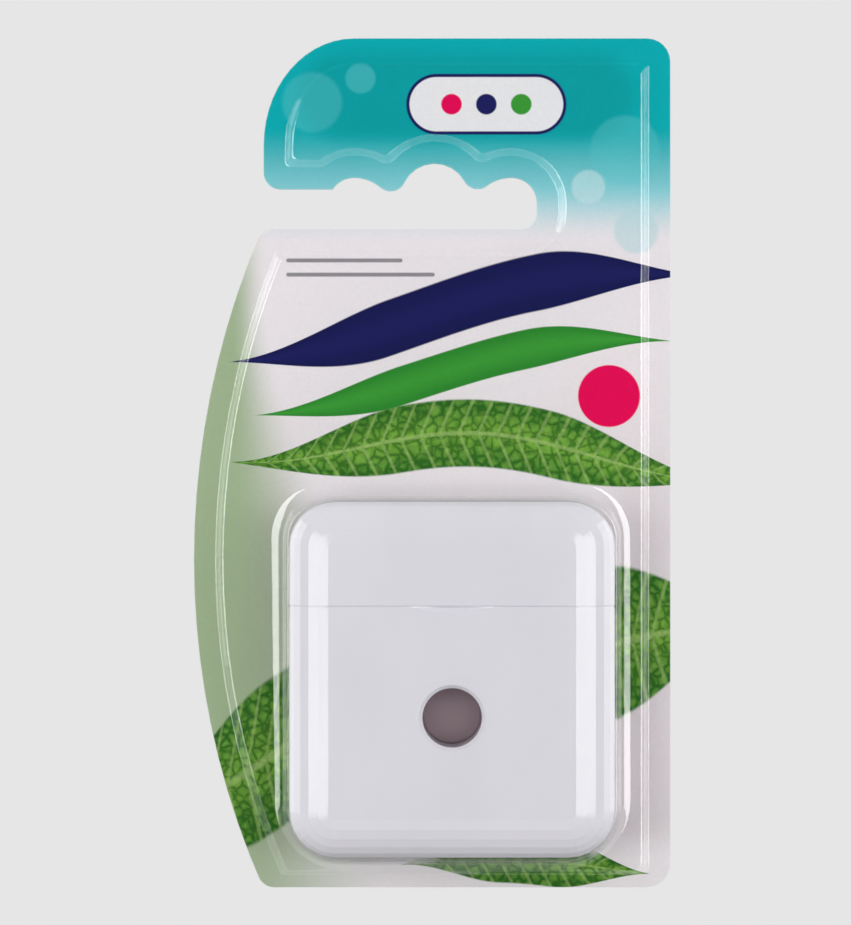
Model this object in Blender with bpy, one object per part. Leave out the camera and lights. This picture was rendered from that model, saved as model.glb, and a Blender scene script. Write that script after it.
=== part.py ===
# Flip-top dental floss dispenser in a clear blister on a hang card
# Metres, +Z up, +Y away from the viewer
# The origin is the top of the hook slot's middle arch, on the card's back face

import math

import bmesh
import bpy
from mathutils import Matrix, Vector

# Fits
FIT_GAP = 0.0003
OVERRUN = 0.002

# Hang card, measured from the hook's middle arch
CARD_THICKNESS = 0.00045
CARD_RISE = 0.0194
CARD_FOOT_MARGIN = 0.0059
CARD_MARGIN_RIGHT = 0.0092
CARD_MARGIN_LEFT = 0.0045
BELLY_BULGE = 0.0107
BELLY_DROP = 0.0614
BELLY_RADIUS_ABOVE = 0.130
HEADER_REACH_LEFT = 0.0265
HEADER_ARC_WIDTH = 0.0140
HEADER_ARC_HEIGHT = 0.0165
TOP_CORNER_RADIUS = 0.0036
FOOT_CORNER_RADIUS = 0.0037
SMALL_CORNER_RADIUS = 0.0026

# Three-arch hook slot, open to the left
ARCH_RADIUS = 0.0052
LEFT_ARCH_OFFSET = 0.0125
RIGHT_ARCH_OFFSET = 0.0119
SIDE_ARCH_DROP = 0.0022
SIDE_ARCH_INNER_RADIUS = 0.0063
SIDE_ARCH_OUTER_RADIUS = 0.0039
HUMP_RADIUS = 0.0024
HUMP_TIGHTEST_RADIUS = 0.0012
SLOT_ROOF_DROP = 0.0040
SLOT_FLOOR_DROP = 0.01015
SLOT_END_RADIUS = 0.0024

# Clear formed sheet
SHEET_THICKNESS = 0.00035
PANEL_INSET = 0.0034
PANEL_RAMP = 0.0012
PANEL_RISE = 0.0010
PANEL_FOOT_share = 0.6
TIGHT_CORNER_share = 0.35
BUBBLE_SIDE_MARGIN = 0.0030
BUBBLE_TOP_MARGIN = 0.0019
BUBBLE_FOOT_MARGIN = 0.0021
BUBBLE_TOP_DRAFT = 0.0009
BUBBLE_SIDE_DRAFT = 0.0018
BUBBLE_FOOT_DRAFT = 0.0009
BUBBLE_CORNER_RADIUS = 0.0078
BUBBLE_FOOT_CORNER_RADIUS = 0.0105
BUBBLE_EDGE_RADIUS = 0.0016
BUBBLE_FRONT_GAP = 0.00065

# Dispenser case
CASE_CENTRE_X = 0.0026
CASE_TOP_DROP = 0.0521
CASE_WIDTH = 0.0494
CASE_HEIGHT = 0.0541
CASE_DEPTH = 0.0180
CASE_CORNER_RADIUS = 0.0070
CASE_EDGE_REACH = 0.0060
CASE_EDGE_DEPTH = 0.0030
CASE_REAR_EDGE_RADIUS = 0.0030
CASE_WALL = 0.0012
LID_HEIGHT = 0.0160

# Thumb scoop in the case under the seam
SCOOP_WIDTH = 0.0130
SCOOP_DROP = 0.0009
SCOOP_DEPTH = 0.0004

# Lid hinge along the rear of the seam
KNUCKLE_RADIUS = 0.0012
KNUCKLE_COVER = 0.00005
PINTLE_RADIUS = 0.0005
PINTLE_REACH = 0.0016
LID_KNUCKLE_LENGTH = 0.0120
CASE_KNUCKLE_LENGTH = 0.0050
KNUCKLE_GAP = 0.00055
SWING_GAP = 0.00055
WEB_THICKNESS = 0.0010
WEB_HEIGHT = 0.0030
WEB_BACKING = 0.0003

# Inner deck with the floss outlet
DECK_THICKNESS = 0.0010
DECK_DROP = 0.0002
RIM_THICKNESS = 0.0008
RIM_RISE = 0.0016
SHELF_THICKNESS = 0.00155
LEDGE_THICKNESS = 0.0010
LEDGE_REACH = 0.0015
LEDGE_WIDTH = 0.0360
OUTLET_OFFSET_X = 0.0080
OUTLET_RADIUS = 0.0009
OUTLET_BOSS_RADIUS = 0.0022
OUTLET_BOSS_RISE = 0.0012

# Stainless cutter
CUTTER_THICKNESS = 0.00035
CUTTER_WIDTH = 0.0090
CUTTER_FOOT_LENGTH = 0.0042
CUTTER_RISE = 0.0032
CUTTER_DEPTH_FROM_FRONT = 0.0068
NOTCH_WIDTH = 0.0012
NOTCH_DEPTH = 0.0015
TOOTH_RISE = 0.0009
TOOTH_WIDTH = 0.0016

# Spindle, plug and spool
WINDOW_RAISE = 0.002375
WINDOW_RADIUS = 0.0045
WINDOW_CHAMFER = 0.0005
SPINDLE_WALL = 0.00125
SPINDLE_END_GAP = 0.0006
WINDOW_DEPTH = 0.0100
PLUG_WALL = 0.0010
SPIGOT_LENGTH = 0.0018
CORE_WALL = 0.0015
CORE_END_GAP = 0.0008
CORE_SHOULDER = 0.0020
WINDING_HEADROOM = 0.00125
WINDING_CROWN = 0.0005
FLOSS_RADIUS = 0.0003
LEAD_CROSSING_shares = (0.72, 0.25)

# Counts
CORNER_STEPS = 7
EDGE_STEPS = 6
BUBBLE_EDGE_STEPS = 4
HOOK_CORNER_STEPS = 6
HEADER_STEPS = 14
ARC_STEPS = 8
SIDE_STEPS = 10
ROUND_STEPS = 40
PIN_STEPS = 16
SHARP_ANGLE = math.radians(30)

# Places worked out from the sizes above
CARD_FRONT_Y = -CARD_THICKNESS
SHEET_BACK_Y = CARD_FRONT_Y - FIT_GAP
CASE_REAR_Y = CARD_FRONT_Y - FIT_GAP
CASE_FRONT_Y = CASE_REAR_Y - CASE_DEPTH
CASE_MIDDLE_Y = (CASE_REAR_Y + CASE_FRONT_Y) / 2
CASE_LEFT_X = CASE_CENTRE_X - CASE_WIDTH / 2
CASE_RIGHT_X = CASE_CENTRE_X + CASE_WIDTH / 2
CASE_TOP_Z = -CASE_TOP_DROP
CASE_FOOT_Z = CASE_TOP_Z - CASE_HEIGHT
CARD_FOOT_Z = CASE_FOOT_Z - CARD_FOOT_MARGIN
CARD_REACH_RIGHT = CASE_RIGHT_X + CARD_MARGIN_RIGHT
BELLY_REACH_LEFT = CARD_MARGIN_LEFT + BELLY_BULGE - CASE_LEFT_X
BELLY_TO_FOOT = -BELLY_DROP - CARD_FOOT_Z
BELLY_RADIUS_BELOW = (BELLY_TO_FOOT**2 + BELLY_BULGE**2) / (2 * BELLY_BULGE)
SEAM_Z = CASE_TOP_Z - LID_HEIGHT
LID_FOOT_Z = SEAM_Z + FIT_GAP / 2
CASE_RIM_Z = SEAM_Z - FIT_GAP / 2
INNER_FRONT_Y = CASE_FRONT_Y + CASE_WALL
INNER_REAR_Y = CASE_REAR_Y - CASE_WALL
HINGE_Y = CASE_REAR_Y - KNUCKLE_RADIUS - KNUCKLE_COVER
LID_GROOVE_RADIUS = KNUCKLE_RADIUS + KNUCKLE_GAP
CASE_GROOVE_RADIUS = LID_GROOVE_RADIUS + SWING_GAP
DECK_TOP_Z = CASE_RIM_Z - DECK_DROP
DECK_FOOT_Z = DECK_TOP_Z - DECK_THICKNESS
DECK_FRONT_Y = INNER_FRONT_Y + FIT_GAP
DECK_REAR_Y = HINGE_Y - KNUCKLE_RADIUS - FIT_GAP
DECK_CORNER_RADIUS = CASE_EDGE_REACH - CASE_WALL - FIT_GAP
OUTLET_X = CASE_CENTRE_X + OUTLET_OFFSET_X
CUTTER_FRONT_Y = CASE_FRONT_Y + CUTTER_DEPTH_FROM_FRONT
CUTTER_FOOT_Z = DECK_TOP_Z + FIT_GAP
CUTTER_TOP_Z = CUTTER_FOOT_Z + CUTTER_RISE
WINDOW_Z = (CASE_FOOT_Z + CASE_WALL + DECK_FOOT_Z) / 2 + WINDOW_RAISE
SPINDLE_RADIUS = WINDOW_RADIUS + SPINDLE_WALL
SPINDLE_END_Y = INNER_REAR_Y - SPINDLE_END_GAP
SPIGOT_END_Y = INNER_REAR_Y - SPIGOT_LENGTH
PLUG_FRONT_Y = CASE_FRONT_Y + WINDOW_DEPTH
PLUG_REAR_Y = SPIGOT_END_Y - FIT_GAP
PLUG_RADIUS = WINDOW_RADIUS - FIT_GAP
CORE_BORE_RADIUS = SPINDLE_RADIUS + FIT_GAP
CORE_RADIUS = CORE_BORE_RADIUS + CORE_WALL
CORE_FRONT_Y = INNER_FRONT_Y + CORE_END_GAP
CORE_REAR_Y = INNER_REAR_Y - CORE_END_GAP
WINDING_BORE_RADIUS = CORE_RADIUS + FIT_GAP
WINDING_RADIUS = DECK_FOOT_Z - WINDOW_Z - WINDING_HEADROOM
WINDING_FRONT_Y = CORE_FRONT_Y + CORE_SHOULDER
WINDING_REAR_Y = CORE_REAR_Y - CORE_SHOULDER
SHELF_FRONT_Y = WINDING_REAR_Y + FIT_GAP

# Colours
BOARD_COLOUR = (0.80, 0.84, 0.82, 1.0)
CLEAR_COLOUR = (0.93, 0.95, 0.96, 0.3)
WHITE_COLOUR = (0.78, 0.77, 0.80, 1.0)
TAUPE_COLOUR = (0.16, 0.12, 0.13, 1.0)
STEEL_COLOUR = (0.60, 0.61, 0.62, 1.0)
CORE_COLOUR = (0.62, 0.70, 0.72, 1.0)
FLOSS_COLOUR = (0.86, 0.88, 0.86, 1.0)


def clear_scene():
    """Remove every object that the new file holds."""
    for old in list(bpy.data.objects):
        bpy.data.objects.remove(old, do_unlink=True)


def plain_material(name, colour, roughness, metallic=0.0, transmission=0.0):
    """Make a Principled material of one colour."""
    material = bpy.data.materials.new(name)
    material.use_nodes = True
    shader = material.node_tree.nodes["Principled BSDF"]
    shader.inputs["Base Color"].default_value = colour
    shader.inputs["Roughness"].default_value = roughness
    shader.inputs["Metallic"].default_value = metallic
    shader.inputs["Transmission Weight"].default_value = transmission
    return material


def arc_points(centre, radii, start, stop, steps):
    """List points on an arc or an ellipse quarter, both ends included."""
    points = []
    for step in range(steps + 1):
        angle = start + (stop - start) * step / steps
        x = centre[0] + radii[0] * math.cos(angle)
        z = centre[1] + radii[1] * math.sin(angle)
        points.append((x, z))
    return points


def circle_points(centre, radius, steps):
    """List points round a full circle."""
    return arc_points(centre, (radius, radius), 0, 2 * math.pi, steps)[:-1]


def rounded_corner(before, corner, after, radius, steps):
    """Replace the corner of two straight runs by an arc of the given radius."""
    here = Vector(corner)
    inward = (Vector(before) - here).normalized()
    outward = (Vector(after) - here).normalized()
    half = inward.angle(outward) / 2
    centre = here + (inward + outward).normalized() * radius / math.sin(half)
    first = here + inward * radius / math.tan(half) - centre
    last = here + outward * radius / math.tan(half) - centre
    turn = first.angle_signed(last)
    points = []
    for step in range(steps + 1):
        spoke = first.copy()
        spoke.rotate(Matrix.Rotation(-turn * step / steps, 2))
        points.append(tuple(centre + spoke))
    return points


def tight_radius(radius, inset):
    """Shrink an outer corner's radius with the inset, but keep it round."""
    return max(radius - inset, radius * TIGHT_CORNER_share)


def belly_x(z, inset):
    """Give the card's bowed left side at a height, as two arcs that meet at the belly."""
    radius = BELLY_RADIUS_ABOVE if z > -BELLY_DROP else BELLY_RADIUS_BELOW
    rise = z + BELLY_DROP
    return -BELLY_REACH_LEFT + radius - math.sqrt((radius - inset) ** 2 - rise**2)


def circles_meet(first, first_radius, second, second_radius):
    """Find the upper point where two circles meet."""
    base = Vector(first)
    between = Vector(second) - base
    span = between.length
    along = (span**2 + first_radius**2 - second_radius**2) / (2 * span)
    away = math.sqrt(first_radius**2 - along**2)
    between.normalize()
    return tuple(base + between * along + Vector((-between.y, between.x)) * away)


def bearing(start, end):
    """Give the angle at which one point sees another."""
    return math.atan2(end[1] - start[1], end[0] - start[0])


def hook_arches(inset):
    """Trace the slot's three arches from left to right as one smooth wave, and its right end."""
    inner = SIDE_ARCH_INNER_RADIUS + inset
    outer = SIDE_ARCH_OUTER_RADIUS + inset
    middle = ARCH_RADIUS + inset
    hump = max(HUMP_RADIUS - inset, HUMP_TIGHTEST_RADIUS)
    inner_z = -SIDE_ARCH_DROP - SIDE_ARCH_INNER_RADIUS
    outer_z = -SIDE_ARCH_DROP - SIDE_ARCH_OUTER_RADIUS
    crown = (0, -ARCH_RADIUS)
    left = (-LEFT_ARCH_OFFSET, inner_z)
    right = (RIGHT_ARCH_OFFSET, inner_z)
    left_hump = circles_meet(left, inner + hump, crown, middle + hump)
    right_hump = circles_meet(crown, middle + hump, right, inner + hump)
    turns = [
        bearing(left, left_hump),
        bearing(crown, left_hump),
        bearing(crown, right_hump),
        bearing(right, right_hump),
    ]
    roof = math.asin((-SLOT_ROOF_DROP + inset - outer_z) / outer)
    up = math.pi / 2
    left_outer = (-LEFT_ARCH_OFFSET, outer_z)
    right_outer = (RIGHT_ARCH_OFFSET, outer_z)
    points = arc_points(left_outer, (outer, outer), math.pi - roof, up, ARC_STEPS)
    points += arc_points(left, (inner, inner), up, turns[0], ARC_STEPS)[1:]
    first_turn = (turns[0] - math.pi, turns[1] - math.pi)
    points += arc_points(left_hump, (hump, hump), *first_turn, ARC_STEPS)[1:-1]
    points += arc_points(crown, (middle, middle), turns[1], turns[2], ARC_STEPS)
    second_turn = (turns[2] - math.pi, turns[3] - math.pi)
    points += arc_points(right_hump, (hump, hump), *second_turn, ARC_STEPS)[1:-1]
    points += arc_points(right, (inner, inner), turns[3], up, ARC_STEPS)
    points += arc_points(right_outer, (outer, outer), up, 0, ARC_STEPS)[1:]
    reach_right = RIGHT_ARCH_OFFSET + SIDE_ARCH_OUTER_RADIUS
    corner = (reach_right - SLOT_END_RADIUS, SLOT_END_RADIUS - SLOT_FLOOR_DROP)
    reach = SLOT_END_RADIUS + inset
    points += arc_points(corner, (reach, reach), 0, -math.pi / 2, HOOK_CORNER_STEPS)
    return points


def card_outline(inset=0.0):
    """Trace the hook-shaped card anticlockwise, drawn in all round by the inset."""
    top = CARD_RISE - inset
    right = CARD_REACH_RIGHT - inset
    header_left = inset - HEADER_REACH_LEFT
    roof = inset - SLOT_ROOF_DROP
    floor = -SLOT_FLOOR_DROP - inset
    foot = CARD_FOOT_Z + inset * PANEL_FOOT_share
    arc_centre = (HEADER_ARC_WIDTH - HEADER_REACH_LEFT, CARD_RISE - HEADER_ARC_HEIGHT)
    arc_radii = (HEADER_ARC_WIDTH - inset, HEADER_ARC_HEIGHT - inset)
    header_arc = arc_points(arc_centre, arc_radii, math.pi / 2, math.pi, HEADER_STEPS)
    arches = hook_arches(inset)

    side = []
    for step in range(1, SIDE_STEPS):
        z = floor + (-BELLY_DROP - floor) * step / SIDE_STEPS
        side.append((belly_x(z, inset), z))
    for step in range(SIDE_STEPS):
        z = -BELLY_DROP + (foot + BELLY_DROP) * step / SIDE_STEPS
        side.append((belly_x(z, inset), z))

    top_right = (right, top)
    header_foot = (header_left, roof)
    body_corner = (belly_x(floor, inset), floor)
    foot_left = (belly_x(foot, inset), foot)
    foot_right = (right, foot)
    small = tight_radius(SMALL_CORNER_RADIUS, inset)
    steps = HOOK_CORNER_STEPS
    big_top = tight_radius(TOP_CORNER_RADIUS, inset)
    big_foot = tight_radius(FOOT_CORNER_RADIUS, inset)

    points = rounded_corner(foot_right, top_right, header_arc[0], big_top, steps)
    points += header_arc
    points += rounded_corner(header_arc[-1], header_foot, arches[0], small, steps)
    points += arches
    points += rounded_corner(arches[-1], body_corner, side[0], small, steps)
    points += side
    points += rounded_corner(side[-1], foot_left, foot_right, small, steps)
    points += rounded_corner(foot_left, foot_right, top_right, big_foot, steps)
    return points


def rounded_rectangle(left, right, foot, top, radius, foot_radius=None):
    """Trace a rectangle with round corners, anticlockwise from its top right."""
    low = foot_radius or radius
    corners = [
        (right - radius, top - radius, radius, 0),
        (left + radius, top - radius, radius, 1),
        (left + low, foot + low, low, 2),
        (right - low, foot + low, low, 3),
    ]
    points = []
    for x, z, radius, quarter in corners:
        start = quarter * math.pi / 2
        points += arc_points((x, z), (radius, radius), start, start + math.pi / 2, CORNER_STEPS)
    return points


def finish_object(name, builder, material):
    """Turn a bmesh into a smooth shaded object of the scene."""
    bmesh.ops.recalc_face_normals(builder, faces=builder.faces)
    mesh = bpy.data.meshes.new(name)
    builder.to_mesh(mesh)
    builder.free()
    mesh.shade_smooth()
    mesh.set_sharp_from_angle(angle=SHARP_ANGLE)
    made = bpy.data.objects.new(name, mesh)
    bpy.context.scene.collection.objects.link(made)
    if material:
        mesh.materials.append(material)
    else:
        made.hide_render = True
        made.display_type = "WIRE"
    return made


def add_ring(builder, outline, y):
    """Add one ring of vertices at a depth."""
    return [builder.verts.new((x, y, z)) for x, z in outline]


def join_rings(builder, first, second):
    """Skin two rings that have as many vertices as each other."""
    count = len(first)
    for index in range(count):
        after = (index + 1) % count
        builder.faces.new((first[index], first[after], second[after], second[index]))


def fill_between(builder, outer, inner):
    """Fill the flat region between two rings at one depth."""
    edges = []
    for ring in (outer, inner):
        for index, vertex in enumerate(ring):
            after = ring[(index + 1) % len(ring)]
            edges.append(builder.edges.get((vertex, after)))
    bmesh.ops.triangle_fill(builder, edges=edges, use_beauty=True, normal=(0, -1, 0))


def prism(name, outline, near_y, far_y, material=None):
    """Extrude an outline between two depths."""
    builder = bmesh.new()
    near = add_ring(builder, outline, near_y)
    far = add_ring(builder, outline, far_y)
    join_rings(builder, near, far)
    builder.faces.new(near)
    builder.faces.new(far)
    return finish_object(name, builder, material)


def standing_prism(name, outline, foot_z, top_z, material=None):
    """Extrude an outline of (x, y) points between two heights."""
    builder = bmesh.new()
    rings = []
    for z in (foot_z, top_z):
        rings.append([builder.verts.new((x, y, z)) for x, y in outline])
    join_rings(builder, rings[0], rings[1])
    builder.faces.new(rings[0])
    builder.faces.new(rings[1])
    return finish_object(name, builder, material)


def block(name, low, high, material=None):
    """Make a box from its two corners."""
    outline = [(low[0], low[2]), (high[0], low[2]), (high[0], high[2]), (low[0], high[2])]
    return prism(name, outline, low[1], high[1], material)


def edge_levels(reach, depth):
    """List how far each step of a soft edge is drawn in, and how deep it lies."""
    levels = []
    for step in range(EDGE_STEPS + 1):
        angle = math.pi / 2 * step / EDGE_STEPS
        levels.append((reach * (1 - math.sin(angle)), depth * (1 - math.cos(angle))))
    return levels


def soft_box(name, inset, material=None):
    """Make the case's pillow-edged outer body, or its hollow at a wall's depth."""
    builder = bmesh.new()
    front_levels = edge_levels(CASE_EDGE_REACH - inset, CASE_EDGE_DEPTH - inset)
    rear_edge = CASE_REAR_EDGE_RADIUS - inset
    rear_levels = reversed(edge_levels(rear_edge, rear_edge))
    front = [(drawn, CASE_FRONT_Y + inset + depth) for drawn, depth in front_levels]
    rear = [(drawn, CASE_REAR_Y - inset - depth) for drawn, depth in rear_levels]
    rings = []
    for drawn_in, y in front + rear:
        total = inset + drawn_in
        outline = rounded_rectangle(
            CASE_LEFT_X + total,
            CASE_RIGHT_X - total,
            CASE_FOOT_Z + total,
            CASE_TOP_Z - total,
            CASE_CORNER_RADIUS - total,
        )
        rings.append(add_ring(builder, outline, y))
    for first, second in zip(rings, rings[1:]):
        join_rings(builder, first, second)
    builder.faces.new(rings[0])
    builder.faces.new(rings[-1])
    return finish_object(name, builder, material)


def turned(name, profile, material=None, closed=False):
    """Turn a profile of (radius, y) points about the window's axis."""
    builder = bmesh.new()
    centre = (CASE_CENTRE_X, WINDOW_Z)
    rings = []
    for radius, y in profile:
        if radius == 0:
            rings.append([builder.verts.new((centre[0], y, centre[1]))])
            continue
        rings.append(add_ring(builder, circle_points(centre, radius, ROUND_STEPS), y))
    pairs = list(zip(rings, rings[1:]))
    if closed:
        pairs.append((rings[-1], rings[0]))
    for first, second in pairs:
        if len(first) > 1 and len(second) > 1:
            join_rings(builder, first, second)
            continue
        tip, ring = (first[0], second) if len(first) == 1 else (second[0], first)
        for index, vertex in enumerate(ring):
            builder.faces.new((tip, vertex, ring[(index + 1) % len(ring)]))
    return finish_object(name, builder, material)


def drum(name, radius, near_y, far_y, material=None):
    """Make a solid round of the window's axis."""
    profile = [(0, near_y), (radius, near_y), (radius, far_y), (0, far_y)]
    return turned(name, profile, material)


def hinge_rod(name, left, right, radius):
    """Make a round rod along the hinge axis."""
    builder = bmesh.new()
    circle = circle_points((HINGE_Y, SEAM_Z), radius, PIN_STEPS)
    ends = []
    for x in (left, right):
        ends.append([builder.verts.new((x, y, z)) for y, z in circle])
    join_rings(builder, ends[0], ends[1])
    builder.faces.new(ends[0])
    builder.faces.new(ends[1])
    return finish_object(name, builder, None)


def combine(target, tool, operation):
    """Add an exact Boolean by another solid, which then moves with its target."""
    tool.parent = target
    modifier = target.modifiers.new(tool.name, "BOOLEAN")
    modifier.operation = operation
    modifier.solver = "EXACT"
    modifier.object = tool


def cut(target, tool):
    """Cut one solid out of another."""
    combine(target, tool, "DIFFERENCE")


def add(target, tool):
    """Join one solid to another."""
    combine(target, tool, "UNION")


def keep_inside(target, tool):
    """Keep what lies inside a region."""
    combine(target, tool, "INTERSECT")


def move_origin(made, point):
    """Put an object's origin at a point without moving its shape."""
    back = Matrix.Translation(-Vector(point))
    made.data.transform(back)
    made.location = point
    for tool in made.children:
        tool.matrix_parent_inverse = back


def build_card(board):
    """Make the die-cut hang card."""
    return prism("backing_card", card_outline(), CARD_FRONT_Y, 0, board)


def bubble_outline(drawn_in, sheet):
    """Size the bubble around the case, at a share of its draft, outside or inside the sheet."""
    side = BUBBLE_SIDE_MARGIN - BUBBLE_SIDE_DRAFT * drawn_in - sheet
    top = BUBBLE_TOP_MARGIN - BUBBLE_TOP_DRAFT * drawn_in - sheet
    foot = BUBBLE_FOOT_MARGIN - BUBBLE_FOOT_DRAFT * drawn_in - sheet
    round_off = BUBBLE_SIDE_DRAFT * drawn_in + sheet
    return (
        CASE_LEFT_X - side,
        CASE_RIGHT_X + side,
        CASE_FOOT_Z - foot,
        CASE_TOP_Z + top,
        BUBBLE_CORNER_RADIUS - round_off,
        BUBBLE_FOOT_CORNER_RADIUS - round_off,
    )


def bubble_levels(root_y, crest_y, sheet):
    """List the bubble's rings from its root to its front face, as outlines with depths."""
    levels = [(rounded_rectangle(*bubble_outline(0, sheet)), root_y)]
    edge = BUBBLE_EDGE_RADIUS - sheet
    left, right, foot, top, radius, foot_radius = bubble_outline(1, sheet)
    for step in range(BUBBLE_EDGE_STEPS + 1):
        angle = math.pi / 2 * step / BUBBLE_EDGE_STEPS
        shrink = edge * (1 - math.cos(angle))
        y = crest_y + edge * (1 - math.sin(angle))
        outline = rounded_rectangle(
            left + shrink,
            right - shrink,
            foot + shrink,
            top - shrink,
            radius - shrink,
            foot_radius - shrink,
        )
        levels.append((outline, y))
    return levels


def build_blister(clear):
    """Make the formed sheet: flange, embossed panel and bubble, as one skin with two sides."""
    builder = bmesh.new()
    crest_y = CASE_FRONT_Y - BUBBLE_FRONT_GAP - SHEET_THICKNESS
    rims = []
    for sheet in (0.0, SHEET_THICKNESS):
        flange_y = SHEET_BACK_Y - SHEET_THICKNESS + sheet
        panel_y = flange_y - PANEL_RISE
        ramp_top = PANEL_INSET + PANEL_RAMP + sheet
        rim = add_ring(builder, card_outline(), flange_y)
        foot = add_ring(builder, card_outline(PANEL_INSET + sheet), flange_y)
        crest = add_ring(builder, card_outline(ramp_top), panel_y)
        join_rings(builder, rim, foot)
        join_rings(builder, foot, crest)
        rings = []
        for outline, y in bubble_levels(panel_y, crest_y + sheet, sheet):
            rings.append(add_ring(builder, outline, y))
        for first, second in zip(rings, rings[1:]):
            join_rings(builder, first, second)
        builder.faces.new(rings[-1])
        fill_between(builder, crest, rings[0])
        rims.append(rim)
    join_rings(builder, rims[0], rims[1])
    return finish_object("blister_shell", builder, clear)


def thumb_scoop():
    """Shape the thumb scoop's cutter: bowed below the seam, and shallower towards its foot."""
    half = SCOOP_WIDTH / 2
    bow = (half**2 + SCOOP_DROP**2) / (2 * SCOOP_DROP)
    sweep = math.asin(half / bow)
    start = -math.pi / 2 - sweep
    top = SEAM_Z + SCOOP_DROP + OVERRUN
    builder = bmesh.new()
    rings = []
    for depth in (-OVERRUN, SCOOP_DEPTH):
        lift = depth * SCOOP_DROP / SCOOP_DEPTH
        centre = (CASE_CENTRE_X, SEAM_Z - SCOOP_DROP + bow + lift)
        points = arc_points(centre, (bow, bow), start, start + 2 * sweep, ARC_STEPS)
        points.append((CASE_CENTRE_X + half, top))
        points.append((CASE_CENTRE_X - half, top))
        rings.append(add_ring(builder, points, CASE_FRONT_Y + depth))
    join_rings(builder, rings[0], rings[1])
    builder.faces.new(rings[0])
    builder.faces.new(rings[1])
    return finish_object("thumb_scoop", builder, None)


def build_lid(white):
    """Make the flip-top cap with its knuckle and pintles."""
    lid = soft_box("lid", 0, white)
    low = (CASE_LEFT_X - OVERRUN, CASE_FRONT_Y - OVERRUN, LID_FOOT_Z)
    high = (CASE_RIGHT_X + OVERRUN, CASE_REAR_Y + OVERRUN, CASE_TOP_Z + OVERRUN)
    keep_inside(lid, block("lid_region", low, high))
    cut(lid, soft_box("lid_hollow", CASE_WALL))
    groove = hinge_rod(
        "lid_groove", CASE_LEFT_X - OVERRUN, CASE_RIGHT_X + OVERRUN, LID_GROOVE_RADIUS
    )
    cut(lid, groove)
    half = LID_KNUCKLE_LENGTH / 2
    left = CASE_CENTRE_X - half
    right = CASE_CENTRE_X + half
    add(lid, hinge_rod("lid_knuckle", left, right, KNUCKLE_RADIUS))
    web_y = INNER_REAR_Y + (CASE_WALL - WEB_THICKNESS) / 2
    web_low = (left, web_y, SEAM_Z)
    web_high = (right, web_y + WEB_THICKNESS, SEAM_Z + WEB_HEIGHT)
    add(lid, block("lid_web", web_low, web_high))
    add(lid, hinge_rod("pintles", left - PINTLE_REACH, right + PINTLE_REACH, PINTLE_RADIUS))
    move_origin(lid, (CASE_CENTRE_X, HINGE_Y, SEAM_Z))
    return lid


def build_front_shell(white):
    """Make the front half of the case with its thumb scoop, hollow spindle and ledge."""
    shell = soft_box("front_shell", 0, white)
    parting_y = CASE_MIDDLE_Y - FIT_GAP / 2
    low = (CASE_LEFT_X - OVERRUN, CASE_FRONT_Y - OVERRUN, CASE_FOOT_Z - OVERRUN)
    high = (CASE_RIGHT_X + OVERRUN, parting_y, CASE_RIM_Z)
    keep_inside(shell, block("front_region", low, high))
    cut(shell, soft_box("front_hollow", CASE_WALL))
    cut(shell, thumb_scoop())
    ledge_top = DECK_FOOT_Z - FIT_GAP
    ledge_left = CASE_CENTRE_X - LEDGE_WIDTH / 2
    ledge_right = CASE_CENTRE_X + LEDGE_WIDTH / 2
    rooted_y = INNER_FRONT_Y - CASE_WALL / 2
    ledge_low = (ledge_left, rooted_y, ledge_top - LEDGE_THICKNESS)
    ledge_high = (ledge_right, INNER_FRONT_Y + LEDGE_REACH, ledge_top)
    add(shell, block("front_ledge", ledge_low, ledge_high))
    add(shell, drum("spindle_body", SPINDLE_RADIUS, rooted_y, SPINDLE_END_Y))
    mouth = WINDOW_RADIUS + WINDOW_CHAMFER
    bore = [
        (0, CASE_FRONT_Y - OVERRUN),
        (mouth + OVERRUN, CASE_FRONT_Y - OVERRUN),
        (WINDOW_RADIUS, CASE_FRONT_Y + WINDOW_CHAMFER),
        (WINDOW_RADIUS, SPINDLE_END_Y + OVERRUN),
        (0, SPINDLE_END_Y + OVERRUN),
    ]
    cut(shell, turned("window_bore", bore))
    return shell


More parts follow.
